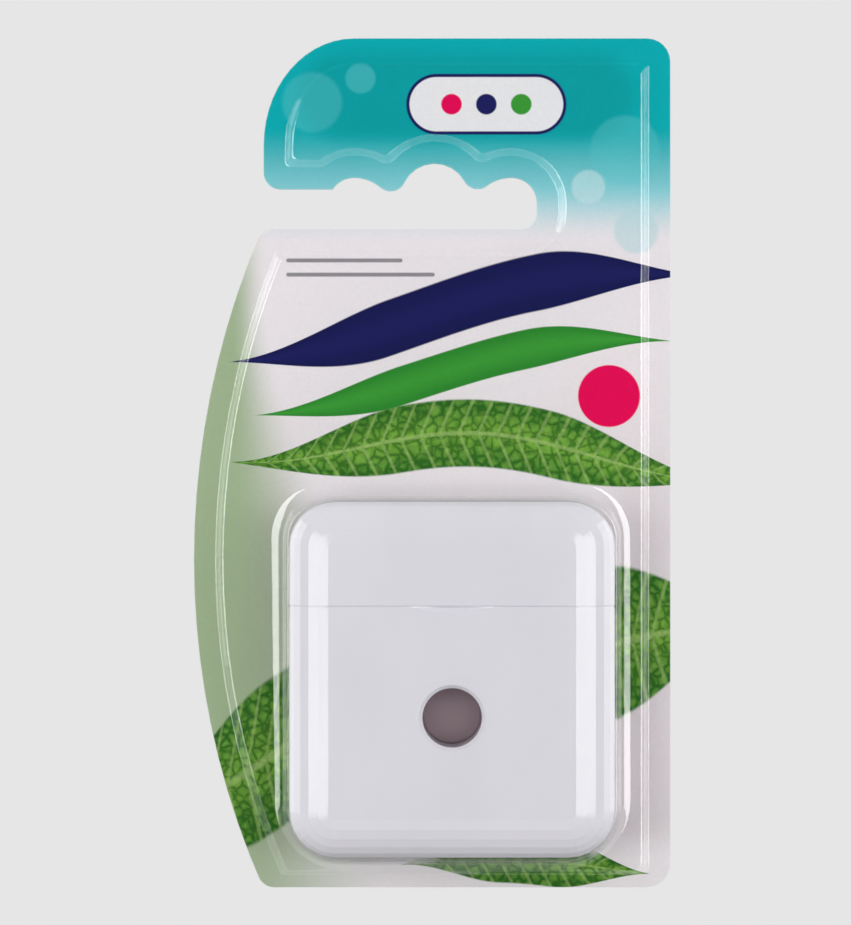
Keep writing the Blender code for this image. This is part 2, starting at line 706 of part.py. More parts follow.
def build_rear_shell(white):
    """Make the rear half of the case with its shelf, hinge sockets and spigot."""
    shell = soft_box("rear_shell", 0, white)
    parting_y = CASE_MIDDLE_Y + FIT_GAP / 2
    low = (CASE_LEFT_X - OVERRUN, parting_y, CASE_FOOT_Z - OVERRUN)
    high = (CASE_RIGHT_X + OVERRUN, CASE_REAR_Y + OVERRUN, CASE_RIM_Z)
    keep_inside(shell, block("rear_region", low, high))
    cut(shell, soft_box("rear_hollow", CASE_WALL))
    groove = hinge_rod(
        "case_groove", CASE_LEFT_X - OVERRUN, CASE_RIGHT_X + OVERRUN, CASE_GROOVE_RADIUS
    )
    cut(shell, groove)
    shelf_top = DECK_FOOT_Z - FIT_GAP
    shelf_left = CASE_LEFT_X + CASE_REAR_EDGE_RADIUS
    shelf_right = CASE_RIGHT_X - CASE_REAR_EDGE_RADIUS
    shelf_low = (shelf_left, SHELF_FRONT_Y, shelf_top - SHELF_THICKNESS)
    shelf_high = (shelf_right, INNER_REAR_Y + WEB_BACKING, shelf_top)
    add(shell, block("rear_shelf", shelf_low, shelf_high))
    inner_end = LID_KNUCKLE_LENGTH / 2 + FIT_GAP
    outer_end = inner_end + CASE_KNUCKLE_LENGTH
    socket_end = inner_end + PINTLE_REACH + FIT_GAP
    for side, word in ((-1, "left"), (1, "right")):
        ends = sorted((CASE_CENTRE_X + side * inner_end, CASE_CENTRE_X + side * outer_end))
        add(shell, hinge_rod(word + "_knuckle", ends[0], ends[1], KNUCKLE_RADIUS))
        web_low = (ends[0], HINGE_Y - WEB_THICKNESS, shelf_top - SHELF_THICKNESS / 2)
        web_high = (ends[1], HINGE_Y + WEB_BACKING, SEAM_Z - PINTLE_RADIUS)
        add(shell, block(word + "_web", web_low, web_high))
        mouth = CASE_CENTRE_X + side * (inner_end - OVERRUN)
        deep = CASE_CENTRE_X + side * socket_end
        socket = sorted((mouth, deep))
        bore = PINTLE_RADIUS + FIT_GAP
        cut(shell, hinge_rod(word + "_socket", socket[0], socket[1], bore))
    add(shell, drum("spigot", PLUG_RADIUS, SPIGOT_END_Y, INNER_REAR_Y + CASE_WALL / 2))
    return shell


def build_deck(white):
    """Make the inner deck: plate, upstanding rim, outlet boss and outlet."""
    half = CASE_WIDTH / 2 - CASE_WALL - FIT_GAP
    left = CASE_CENTRE_X - half
    right = CASE_CENTRE_X + half
    rim_top = SEAM_Z + RIM_RISE

    corner = DECK_CORNER_RADIUS
    outline = rounded_rectangle(left, right, DECK_FRONT_Y, DECK_REAR_Y, corner)
    deck = standing_prism("outlet_deck", outline, DECK_FOOT_Z, rim_top, white)
    well_outline = rounded_rectangle(
        left + RIM_THICKNESS,
        right - RIM_THICKNESS,
        DECK_FRONT_Y + RIM_THICKNESS,
        DECK_REAR_Y - RIM_THICKNESS,
        corner - RIM_THICKNESS,
    )
    cut(deck, standing_prism("deck_well", well_outline, DECK_TOP_Z, rim_top + OVERRUN))
    outlet = (OUTLET_X, CASE_MIDDLE_Y)
    boss_top = DECK_TOP_Z + OUTLET_BOSS_RISE
    boss_foot = DECK_FOOT_Z + DECK_THICKNESS / 2
    boss_outline = circle_points(outlet, OUTLET_BOSS_RADIUS, PIN_STEPS)
    add(deck, standing_prism("outlet_boss", boss_outline, boss_foot, boss_top))
    hole_outline = circle_points(outlet, OUTLET_RADIUS, PIN_STEPS)
    hole_foot = DECK_FOOT_Z - OVERRUN
    cut(deck, standing_prism("outlet_hole", hole_outline, hole_foot, boss_top + OVERRUN))
    return deck


def build_cutter(steel):
    """Make the folded cutter: a foot on the deck and a notched, toothed blade."""
    left = CASE_CENTRE_X - CUTTER_WIDTH / 2
    right = CASE_CENTRE_X + CUTTER_WIDTH / 2
    notch_left = CASE_CENTRE_X - NOTCH_WIDTH / 2
    notch_right = CASE_CENTRE_X + NOTCH_WIDTH / 2
    notch_foot = CUTTER_TOP_Z - NOTCH_DEPTH
    blade = [
        (left, CUTTER_FOOT_Z),
        (right, CUTTER_FOOT_Z),
        (right, CUTTER_TOP_Z - NOTCH_DEPTH),
        (notch_right + TOOTH_WIDTH, CUTTER_TOP_Z),
        (notch_right, CUTTER_TOP_Z),
        (notch_right, notch_foot),
        (notch_left, notch_foot),
        (notch_left, CUTTER_TOP_Z + TOOTH_RISE),
        (notch_left - TOOTH_WIDTH, CUTTER_TOP_Z),
        (left, CUTTER_TOP_Z - NOTCH_DEPTH),
    ]
    rear_y = CUTTER_FRONT_Y + CUTTER_THICKNESS
    cutter = prism("cutter", blade, CUTTER_FRONT_Y, rear_y, steel)
    foot_low = (left, rear_y - CUTTER_FOOT_LENGTH, CUTTER_FOOT_Z)
    foot_high = (right, rear_y - CUTTER_THICKNESS / 2, CUTTER_FOOT_Z + CUTTER_THICKNESS)
    add(cutter, block("cutter_foot", foot_low, foot_high))
    return cutter


def build_plug(taupe):
    """Make the cup-shaped plug that floors the window."""
    profile = [
        (0, PLUG_FRONT_Y),
        (PLUG_RADIUS, PLUG_FRONT_Y),
        (PLUG_RADIUS, PLUG_REAR_Y),
        (PLUG_RADIUS - PLUG_WALL, PLUG_REAR_Y),
        (PLUG_RADIUS - PLUG_WALL, PLUG_FRONT_Y + PLUG_WALL),
        (0, PLUG_FRONT_Y + PLUG_WALL),
    ]
    return turned("spindle_plug", profile, taupe)


def build_spool(core_material, floss):
    """Make the bobbin core and the winding on it."""
    core_profile = [
        (CORE_BORE_RADIUS, CORE_FRONT_Y),
        (CORE_RADIUS, CORE_FRONT_Y),
        (CORE_RADIUS, CORE_REAR_Y),
        (CORE_BORE_RADIUS, CORE_REAR_Y),
    ]
    core = turned("floss_core", core_profile, core_material, closed=True)
    winding_profile = [
        (WINDING_BORE_RADIUS, WINDING_FRONT_Y),
        (WINDING_RADIUS - WINDING_CROWN, WINDING_FRONT_Y),
        (WINDING_RADIUS, WINDING_FRONT_Y + WINDING_CROWN),
        (WINDING_RADIUS, WINDING_REAR_Y - WINDING_CROWN),
        (WINDING_RADIUS - WINDING_CROWN, WINDING_REAR_Y),
        (WINDING_BORE_RADIUS, WINDING_REAR_Y),
    ]
    winding = turned("floss_winding", winding_profile, floss, closed=True)
    for piece in (core, winding):
        move_origin(piece, (CASE_CENTRE_X, CASE_MIDDLE_Y, WINDOW_Z))
    return core, winding


def build_lead(floss):
    """Make the strand from the winding through the outlet into the cutter's notch."""
    reach = WINDING_RADIUS + FLOSS_RADIUS + FIT_GAP
    rise = DECK_FOOT_Z - WINDOW_Z
    slant = math.atan2(rise, OUTLET_OFFSET_X)
    leave = slant - math.acos(reach / math.hypot(rise, OUTLET_OFFSET_X))
    start = (
        CASE_CENTRE_X + reach * math.cos(leave),
        CASE_MIDDLE_Y,
        WINDOW_Z + reach * math.sin(leave),
    )
    boss_top = DECK_TOP_Z + OUTLET_BOSS_RISE
    over_z = CUTTER_TOP_Z - NOTCH_DEPTH + FIT_GAP + FLOSS_RADIUS
    behind_y = CUTTER_FRONT_Y + CUTTER_THICKNESS
    crossing = []
    for share in LEAD_CROSSING_shares:
        x = CASE_CENTRE_X + OUTLET_OFFSET_X * share
        crossing.append((x, CASE_MIDDLE_Y, boss_top + OUTLET_BOSS_RISE))
    route = [
        start,
        (OUTLET_X, CASE_MIDDLE_Y, DECK_FOOT_Z),
        (OUTLET_X, CASE_MIDDLE_Y, boss_top),
        *crossing,
        (CASE_CENTRE_X, behind_y + OUTLET_RADIUS, over_z),
        (CASE_CENTRE_X, CUTTER_FRONT_Y - OUTLET_RADIUS, over_z),
        (CASE_CENTRE_X, CUTTER_FRONT_Y - CUTTER_FOOT_LENGTH / 2, over_z - NOTCH_DEPTH / 2),
    ]
    curve = bpy.data.curves.new("floss_lead", "CURVE")
    curve.dimensions = "3D"
    curve.bevel_depth = FLOSS_RADIUS
    curve.bevel_resolution = 2
    curve.use_fill_caps = True
    points = smooth_route(route)
    spline = curve.splines.new("POLY")
    spline.points.add(len(points) - 1)
    for point, place in zip(spline.points, points):
        point.co = (place[0], place[1], place[2], 1)
    curve.materials.append(floss)
    lead = bpy.data.objects.new("floss_lead", curve)
    bpy.context.scene.collection.objects.link(lead)
    return lead


def smooth_route(route):
    """Read a smooth curve through the route's points, at an even small step."""
    places = [Vector(point) for point in route]
    padded = [places[0] * 2 - places[1]] + places + [places[-1] * 2 - places[-2]]
    points = []
    for index in range(1, len(padded) - 2):
        before, here, after, beyond = padded[index - 1 : index + 3]
        count = max(2, round((after - here).length / (FLOSS_RADIUS * 4)))
        for step in range(count):
            share = step / count
            bend = here * 2 + (after - before) * share
            bend += (before * 2 - here * 5 + after * 4 - beyond) * share**2
            bend += (here * 3 - before - after * 3 + beyond) * share**3
            points.append(bend / 2)
    points.append(places[-1])
    return points


def build_part():
    """Model every piece of the pack."""
    clear_scene()
    board = plain_material("printed_board", BOARD_COLOUR, 0.55)
    clear = plain_material("clear_sheet", CLEAR_COLOUR, 0.06, transmission=1.0)
    white = plain_material("white_moulding", WHITE_COLOUR, 0.22)
    taupe = plain_material("taupe_moulding", TAUPE_COLOUR, 0.45)
    steel = plain_material("cutter_steel", STEEL_COLOUR, 0.28, metallic=1.0)
    core_material = plain_material("core_moulding", CORE_COLOUR, 0.4)
    floss = plain_material("waxed_floss", FLOSS_COLOUR, 0.5)

    build_card(board)
    build_blister(clear)
    build_front_shell(white)
    build_rear_shell(white)
    build_lid(white)
    build_deck(white)
    build_cutter(steel)
    build_plug(taupe)
    build_spool(core_material, floss)
    build_lead(floss)


build_part()
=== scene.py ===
"""Looks of a flip-top floss dispenser sealed in a clear blister on a hang card."""

import logging
import math
from dataclasses import dataclass
from enum import Enum

import bmesh
import bpy
from mathutils import Matrix, Vector


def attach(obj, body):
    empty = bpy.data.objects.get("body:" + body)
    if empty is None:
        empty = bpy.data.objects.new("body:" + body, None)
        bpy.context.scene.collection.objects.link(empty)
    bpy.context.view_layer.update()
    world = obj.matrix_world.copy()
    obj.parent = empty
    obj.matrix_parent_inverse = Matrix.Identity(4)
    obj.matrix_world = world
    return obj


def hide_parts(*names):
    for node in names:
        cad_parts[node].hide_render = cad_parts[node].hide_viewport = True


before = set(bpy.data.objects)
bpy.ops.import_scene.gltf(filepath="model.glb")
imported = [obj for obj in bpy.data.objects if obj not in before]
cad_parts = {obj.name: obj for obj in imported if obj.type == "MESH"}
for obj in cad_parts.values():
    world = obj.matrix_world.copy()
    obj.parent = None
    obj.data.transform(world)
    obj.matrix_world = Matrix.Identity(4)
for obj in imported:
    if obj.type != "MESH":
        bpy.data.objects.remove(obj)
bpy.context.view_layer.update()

logging.basicConfig(level=logging.INFO, format="%(message)s")
log = logging.getLogger("floss pack")

MM = 0.001
MIDDLE = (0.3, 0.7)  # the part of a noise field that a ramp reads as 0 to 1
Piece = bpy.types.Object
Material = bpy.types.Material
Socket = bpy.types.NodeSocket
Colour = tuple[float, float, float]
Point = tuple[float, float]
Point3 = tuple[float, float, float]
Value = Socket | float
Ring = list[bmesh.types.BMVert]


class Sum(Enum):
    """Arithmetic that a material's nodes can do."""

    ADD = "ADD"
    TAKE = "SUBTRACT"
    TIMES = "MULTIPLY"
    OVER = "DIVIDE"
    POWER = "POWER"
    SIZE = "ABSOLUTE"
    SINE = "SINE"
    MOST = "MAXIMUM"
    ROOT = "SQRT"


class Body(Enum):
    """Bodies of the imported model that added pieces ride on."""

    BLISTER = "blister"
    CASE = "case"


class Wiring:
    """The node tree of one material or world, with short ways to add to it."""

    def __init__(self, name: str, world: bool = False) -> None:
        """Start an empty tree.

        Args:
            name: The name of the material or world.
            world: Whether it is a world.
        """
        self.owner = (bpy.data.worlds if world else bpy.data.materials).new(name)
        self.owner.use_nodes = True
        self.tree = self.owner.node_tree
        self.tree.nodes.clear()
        self.output = self.node("OutputWorld" if world else "OutputMaterial")

    def node(self, kind: str, *values: Value | Colour, **settings: object) -> bpy.types.Node:
        """Add a node.

        Args:
            kind: Blender's name for the node type, without its prefix.
            values: What its first inputs get, in order.
            settings: Properties of the node to set.

        Returns:
            The new node.
        """
        made = self.tree.nodes.new("ShaderNode" + kind)
        for key, value in settings.items():
            setattr(made, key, value)
        for target, value in zip(made.inputs, values):
            self.feed(target, value)
        return made

    def feed(self, target: Socket, value: Value | Colour) -> None:
        """Link a socket to an input, or set the input's own value.

        Args:
            target: The input.
            value: The socket, number or colour that it gets.
        """
        if isinstance(value, Socket):
            self.tree.links.new(value, target)
        elif isinstance(value, tuple) and target.type == "RGBA":
            target.default_value = (*value, 1.0)
        else:
            target.default_value = value

    def wire(self, kind: str, **inputs: Value | Colour) -> Socket:
        """Add a node and feed it.

        Args:
            kind: Blender's name for the node type, without its prefix.
            inputs: Its inputs, by name with underscores for spaces.

        Returns:
            The node's first output.
        """
        made = self.node(kind)
        for key, value in inputs.items():
            self.feed(made.inputs[key.replace("_", " ")], value)
        return made.outputs[0]

    def sum(self, operation: Sum, first: Value, second: Value = 0.0) -> Socket:
        """Work out one sum of two numbers, or of the first one alone."""
        return self.node("Math", first, second, operation=operation.value).outputs[0]

    def ramp(
        self, value: Value, low: Value, high: Value, start: Value = 0.0, stop: Value = 1.0
    ) -> Socket:
        """Ease from start to stop while a value goes from low to high."""
        numbers = (value, low, high, start, stop)
        return self.node("MapRange", *numbers, interpolation_type="SMOOTHSTEP").outputs[0]

    def mix(self, share: Value, first: Socket | Colour, second: Socket | Colour) -> Socket:
        """Blend two colours.

        Args:
            share: How much of the second colour shows.
            first: The colour at 0.
            second: The colour at 1.

        Returns:
            The blended colour.
        """
        made = self.node("Mix", share, data_type="RGBA", clamp_factor=True)
        self.feed(made.inputs[6], first)
        self.feed(made.inputs[7], second)
        return made.outputs[2]

    def blend(self, share: Value, first: Socket, second: Socket) -> Socket:
        """Blend two shaders, by how much of the second one shows."""
        return self.node("MixShader", share, first, second).outputs[0]

    def show(self, shader: Socket) -> Material | bpy.types.World:
        """Make a shader the one that the owner shows, and give the owner."""
        self.feed(self.output.inputs["Surface"], shader)
        return self.owner

    def away(self, across: Value, along: Value) -> Socket:
        """Give how far a spot lies off, from how far it lies off along two axes."""
        sides = [self.sum(Sum.POWER, self.sum(Sum.SIZE, side), 2.0) for side in (across, along)]
        return self.sum(Sum.ROOT, self.sum(Sum.ADD, *sides))

    def split(self, vector: Socket) -> list[Socket]:
        """Take a vector apart into its x, y and z."""
        return list(self.node("SeparateXYZ", vector).outputs)

    def places(self) -> list[Socket]:
        """Give x, y and z of the surface in millimetres of the shared frame."""
        return self.split(self.grid(1.0))

    def grid(self, size: float, stretch: Point3 = (1.0, 1.0, 1.0)) -> Socket:
        """Give the place on the surface, counted in steps of a size.

        Args:
            size: The size of a step in millimetres.
            stretch: How much finer the steps are along each axis.

        Returns:
            The place as a vector.
        """
        scale = tuple(share / (MM * size) for share in stretch)
        place = self.node("TexCoord").outputs["Object"]
        return self.wire("Mapping", Vector=place, Scale=scale)

    def noise(self, size: float, detail: float = 2.0, stretch: Point3 = (1.0, 1.0, 1.0)) -> Socket:
        """Make a soft field about 0.5, by its grains' size in millimetres and finer layers."""
        place = self.grid(size, stretch)
        return self.wire("TexNoise", Vector=place, Scale=1.0, Detail=detail)

    def cells(self, size: float) -> Socket:
        """Make a net of irregular cells.

        Args:
            size: The size of a cell in millimetres.

        Returns:
            How far each spot lies from its cell's edge, 0 to about 0.5.
        """
        made = self.node("TexVoronoi", feature="DISTANCE_TO_EDGE")
        self.feed(made.inputs["Vector"], self.grid(size))
        self.feed(made.inputs["Scale"], 1.0)
        return made.outputs["Distance"]

    def bump(self, height: Value, strength: float, distance: float) -> Socket:
        """Turn a field into a bumped normal, by its share and the millimetres of a value of 1."""
        return self.wire("Bump", Height=height, Strength=strength, Distance=distance * MM)


def srgb(red: int, green: int, blue: int) -> Colour:
    """Turn a screen colour, 0 to 255, into the linear colour that shaders take."""
    shares = (red / 255, green / 255, blue / 255)
    return tuple(s / 12.92 if s <= 0.04045 else ((s + 0.055) / 1.055) ** 2.4 for s in shares)


def dress(piece: Piece, *materials: Material) -> None:
    """Give a piece new materials.

    Args:
        piece: The piece.
        materials: What it gets in place of its own.
    """
    piece.data.materials.clear()
    for material in materials:
        piece.data.materials.append(material)


def even_shading(piece: Piece) -> None:
    """Keep a piece's flat faces flat to the eye beside small rounded ones.

    Args:
        piece: The piece.
    """
    weights = piece.modifiers.new("even_shading", "WEIGHTED_NORMAL")
    weights.mode = "FACE_AREA"
    weights.keep_sharp = True
    weights.weight = 50


class Print:
    """Something that is printed on the board."""

    def over(self, wiring: Wiring, ground: Socket, x: Socket, z: Socket) -> Socket:
        """Print it over a ground colour.

        Args:
            wiring: The material that it goes into.
            ground: The colour under it.
            x: The place across the board in millimetres.
            z: The place up the board in millimetres.

        Returns:
            The colour with the print on it.
        """
        raise NotImplementedError


@dataclass(frozen=True)
class Bar(Print):
    """A printed bar with round ends, or a disc where its halves are equal, in millimetres."""

    x: float
    z: float
    half_length: float
    half_height: float
    colour: Colour
    softness: float = 0.1
    strength: float = 1.0

    def over(self, wiring: Wiring, ground: Socket, x: Socket, z: Socket) -> Socket:
        """Print the bar, as the class Print says."""
        straight = self.half_length - self.half_height
        side = wiring.sum(Sum.SIZE, wiring.sum(Sum.TAKE, x, self.x))
        past = wiring.sum(Sum.MOST, wiring.sum(Sum.TAKE, side, straight), 0.0)
        away = wiring.away(past, wiring.sum(Sum.TAKE, z, self.z))
        inner, outer = self.half_height - self.softness, self.half_height + self.softness
        share = wiring.ramp(away, inner, outer, self.strength, 0.0)
        return wiring.mix(share, ground, self.colour)


def disc(x: float, z: float, radius: float, colour: Colour, *edge: float) -> Bar:
    """Give a printed disc, with its softness and strength if those aren't a bar's."""
    return Bar(x, z, radius, radius, colour, *edge)


@dataclass(frozen=True)
class Ribbon(Print):
    """A printed wavy ribbon or leaf that runs across the card and tapers at its ends.

    Its middle runs at height + slope * x + wave * sin(turns * x + phase), in millimetres. With
    veins above 0 it looks like a leaf, with a net of small cells between its veins.
    """

    height: float
    slope: float
    wave: float
    turns: float
    phase: float
    half_width: float
    start: float
    stop: float
    taper: float
    core: Colour
    edge: Colour
    veins: float = 0.0
    vein_turns: float = 2.1
    vein_lean: float = 5.0
    vein_zone: Point = (0.72, 1.0)
    middle_zone: Point = (0.02, 0.09)
    middle_boost: float = 1.4
    cell_size: float = 1.5
    crown_zone: Point = (0.1, 0.34)
    crown_share: float = 0.4
    groove_zone: Point = (0.02, 0.16)
    groove_share: float = 0.6
    grain_size: float = 0.9
    grain_zone: Point = (0.42, 0.62)
    grain_shares: Point = (-0.2, 0.12)
    rim_zone: Point = (0.93, 1.0)
    tip_end: float = 0.02
    least_width: float = 0.001
    vein: Colour = srgb(168, 200, 118)
    crown: Colour = srgb(142, 194, 84)
    groove: Colour = srgb(34, 92, 30)
    dark_grain: Colour = srgb(30, 84, 26)
    pale_grain: Colour = srgb(150, 190, 84)

    def over(self, wiring: Wiring, ground: Socket, x: Socket, z: Socket) -> Socket:
        """Print the ribbon, as the class Print says."""
        swing = wiring.sum(Sum.ADD, wiring.sum(Sum.TIMES, x, self.turns), self.phase)
        middle = wiring.sum(Sum.TIMES, wiring.sum(Sum.SINE, swing), self.wave)
        middle = wiring.sum(Sum.ADD, middle, wiring.sum(Sum.TIMES, x, self.slope))
        off = wiring.sum(Sum.TAKE, wiring.sum(Sum.TAKE, z, self.height), middle)
        rise = wiring.ramp(x, self.start, self.start + self.taper)
        fall = wiring.ramp(x, self.stop - self.taper, self.stop, 1.0, 0.0)
        swell = wiring.sum(Sum.TIMES, rise, fall)
        width = wiring.sum(Sum.TIMES, swell, self.half_width)
        width = wiring.sum(Sum.ADD, width, self.least_width)
        spread = wiring.sum(Sum.SIZE, wiring.sum(Sum.OVER, off, width))
        colour = wiring.mix(wiring.ramp(spread, 0.0, 1.0), self.core, self.edge)
        if self.veins:
            colour = self.veined(wiring, colour, x, spread)
        inside = wiring.ramp(spread, *self.rim_zone, 1.0, 0.0)
        share = wiring.sum(Sum.TIMES, inside, wiring.ramp(swell, 0.0, self.tip_end))
        return wiring.mix(share, ground, colour)

    def veined(self, wiring: Wiring, colour: Socket, x: Socket, spread: Socket) -> Socket:
        """Lay cells, grain, slanting pale veins and a middle vein over the ribbon's colour.

        Args:
            wiring: The material that it goes into.
            colour: The ribbon's colour.
            x: The place across the board in millimetres.
            spread: How far the place lies off the middle, 1 at the ribbon's edge.

        Returns:
            The colour with the veins on it.
        """
        turn = wiring.sum(Sum.TIMES, x, self.vein_turns)
        lean = wiring.sum(Sum.TAKE, turn, wiring.sum(Sum.TIMES, spread, self.vein_lean))
        line = wiring.ramp(wiring.sum(Sum.SINE, lean), *self.vein_zone, 0.0, self.veins)
        middle = wiring.ramp(spread, *self.middle_zone, self.veins * self.middle_boost, 0.0)
        net = wiring.cells(self.cell_size)
        crown = wiring.ramp(net, *self.crown_zone, 0.0, self.crown_share)
        groove = wiring.ramp(net, *self.groove_zone, self.groove_share, 0.0)
        grain = wiring.noise(self.grain_size, 3.0)
        grain = wiring.ramp(grain, *self.grain_zone, *self.grain_shares)
        layers = [
            (crown, self.crown),
            (groove, self.groove),
            (wiring.sum(Sum.MOST, line, middle), self.vein),
            (wiring.sum(Sum.MOST, wiring.sum(Sum.TIMES, grain, -1.0), 0.0), self.dark_grain),
            (wiring.sum(Sum.MOST, grain, 0.0), self.pale_grain),
        ]
        for share, layer in layers:
            colour = wiring.mix(share, colour, layer)
        return colour


@dataclass(frozen=True)
class PrintedBoard:
    """Coated board with a generic offset print, painted shade and painted light on its front, raw
    at its back and edges.
    """

    teal: Colour = srgb(0, 180, 188)
    aqua: Colour = srgb(150, 219, 228)
    paper: Colour = srgb(247, 240, 245)
    painted_shade_paper: Colour = srgb(232, 222, 227)
    painted_light_foot_paper: Colour = srgb(248, 242, 246)
    soft_green: Colour = srgb(166, 188, 148)
    navy: Colour = srgb(28, 30, 98)
    leaf: Colour = srgb(112, 168, 58)
    deep_leaf: Colour = srgb(58, 124, 40)
    heading_green: Colour = srgb(62, 160, 56)
    magenta: Colour = srgb(240, 0, 90)
    grey: Colour = srgb(150, 146, 152)
    raw: Colour = srgb(206, 201, 192)
    raw_fibre: Colour = srgb(190, 184, 174)
    painted_shade_zone: Point = (-60.0, -25.0)
    shade: float = 0.8
    painted_light_foot_zone: Point = (-108.0, -101.0)
    belly_heights: Point = (-85.0, -21.0)
    belly_ends: Point = (-6.0, -26.0)
    belly_start: float = -31.5
    tint: float = 0.95
    aqua_zone: Point = (-12.5, -3.0)
    teal_zone: Point = (-7.0, 6.0)
    screen: float = 0.035
    screen_size: float = 0.35
    ink_spread: float = 0.12
    front_limits: Point = (-0.6, -0.4)
    fibre_size: float = 0.5
    fibre_stretch: Point3 = (1.0, 1.0, 0.6)
    fibre_zone: Point = (0.4, 0.75)
    roughness: Point = (0.85, 0.35)
    gloss: float = 0.02
    relief_size: float = 0.22
    relief: Point = (0.25, 0.015)

    def ribbons(self) -> list[Print]:
        """List the printed ribbons.

        Returns:
            The ribbons, from the lowest layer up.
        """
        leafy = {"core": self.leaf, "edge": self.deep_leaf, "veins": 0.5}
        dark = {"core": self.navy, "edge": srgb(20, 24, 84)}
        fresh = {"core": self.heading_green, "edge": srgb(46, 140, 48)}
        return [
            Ribbon(-84.0, 0.42, 5.0, 0.055, 2.0, 12.5, -52.0, 52.0, 26.0, **leafy),
            Ribbon(-44.5, -0.04, 3.0, 0.085, 1.0, 5.4, -33.0, 46.0, 28.0, **leafy),
            Ribbon(-109.5, 0.03, 2.0, 0.09, 1.0, 4.2, -6.0, 34.0, 16.0, **leafy),
            Ribbon(-23.5, 0.16, 2.6, 0.075, 0.2, 4.6, -33.0, 42.0, 26.0, **dark),
            Ribbon(-33.0, 0.13, 2.6, 0.075, 0.1, 3.2, -29.0, 38.0, 24.0, **fresh),
        ]

    def spots(self) -> list[Print]:
        """List the printed discs and bars, with a darker teal bar of painted shade under the raised
        panel.

        Returns:
            The discs and bars, from the lowest layer up.
        """
        pale_teal = srgb(96, 208, 214)
        return [
            # Painted shade: a darker teal bar under the raised panel stands in for the light that
            # the panel's free sheet holds back.
            Bar(5.0, 10.4, 26.0, 6.6, srgb(0, 167, 173), 2.0),
            disc(-19.0, 9.5, 4.6, pale_teal, 0.5, 0.32),
            disc(-11.5, 13.2, 2.3, pale_teal, 0.3, 0.42),
            disc(29.5, 2.0, 5.4, pale_teal, 0.5, 0.34),
            disc(23.8, -3.6, 2.6, srgb(214, 240, 243), 0.3, 0.5),
            disc(31.2, -10.5, 3.4, srgb(190, 226, 232), 0.4, 0.55),
            Bar(8.0, 9.2, 12.4, 4.7, self.navy),
            Bar(8.0, 9.2, 11.9, 4.2, srgb(246, 244, 248)),
            disc(2.6, 9.2, 1.6, self.magenta, self.ink_spread),
            disc(8.0, 9.2, 1.6, self.navy, self.ink_spread),
            disc(13.4, 9.2, 1.6, self.heading_green, self.ink_spread),
            disc(27.0, -36.0, 4.8, self.magenta, self.ink_spread),
            Bar(-14.0, -15.0, 9.0, 0.3, self.grey),
            Bar(-11.5, -17.2, 11.5, 0.3, self.grey),
        ]

    def material(self) -> Material:
        """Make the board's material.

        Returns:
            The material.
        """
        wiring = Wiring("printed_board_front_and_raw_back")
        x, _, z = wiring.places()
        # Painted shade: the lower board is darkened towards the case, standing in for the shade
        # that the case and bubble cast there.
        shade = wiring.ramp(z, *self.painted_shade_zone, self.shade, 0.0)
        ground = wiring.mix(shade, self.paper, self.painted_shade_paper)
        # Painted light: the board's foot under the case is paler, to lift the shade that the case
        # casts there.
        foot = wiring.ramp(z, *self.painted_light_foot_zone, 1.0, 0.0)
        ground = wiring.mix(foot, ground, self.painted_light_foot_paper)
        # Painted light: a pale bar along the case's top edge lifts the shade in the narrow gap
        # above the case.
        painted_light_above_case = Bar(2.6, -52.5, 25.5, 5.5, self.paper, 3.5, 0.95)
        ground = painted_light_above_case.over(wiring, ground, x, z)
        belly_end = wiring.ramp(z, *self.belly_heights, *self.belly_ends)
        tint = wiring.ramp(x, self.belly_start, belly_end, self.tint, 0.0)
        ground = wiring.mix(tint, ground, self.soft_green)
        ground = wiring.mix(wiring.ramp(z, *self.aqua_zone), ground, self.aqua)
        ground = wiring.mix(wiring.ramp(z, *self.teal_zone), ground, self.teal)
        for layer in [*self.ribbons(), *self.spots()]:
            ground = layer.over(wiring, ground, x, z)
        screen = wiring.ramp(wiring.noise(self.screen_size, 1.0), *MIDDLE, 0.0, self.screen)
        ground = wiring.mix(screen, ground, (0.0, 0.0, 0.0))
        facing = wiring.split(wiring.node("NewGeometry").outputs["Normal"])
        printed = wiring.ramp(facing[1], *self.front_limits, 1.0, 0.0)
        fibre = wiring.noise(self.fibre_size, 4.0, self.fibre_stretch)
        fibre = wiring.ramp(fibre, *self.fibre_zone)
        raw = wiring.mix(fibre, self.raw, self.raw_fibre)
        board = wiring.wire(
            "BsdfPrincipled",
            Base_Color=wiring.mix(printed, raw, ground),
            Specular_IOR_Level=self.gloss,
            Roughness=wiring.ramp(printed, 0.0, 1.0, *self.roughness),
            Normal=wiring.bump(wiring.noise(self.relief_size, 3.0), *self.relief),
        )
        return wiring.show(board)


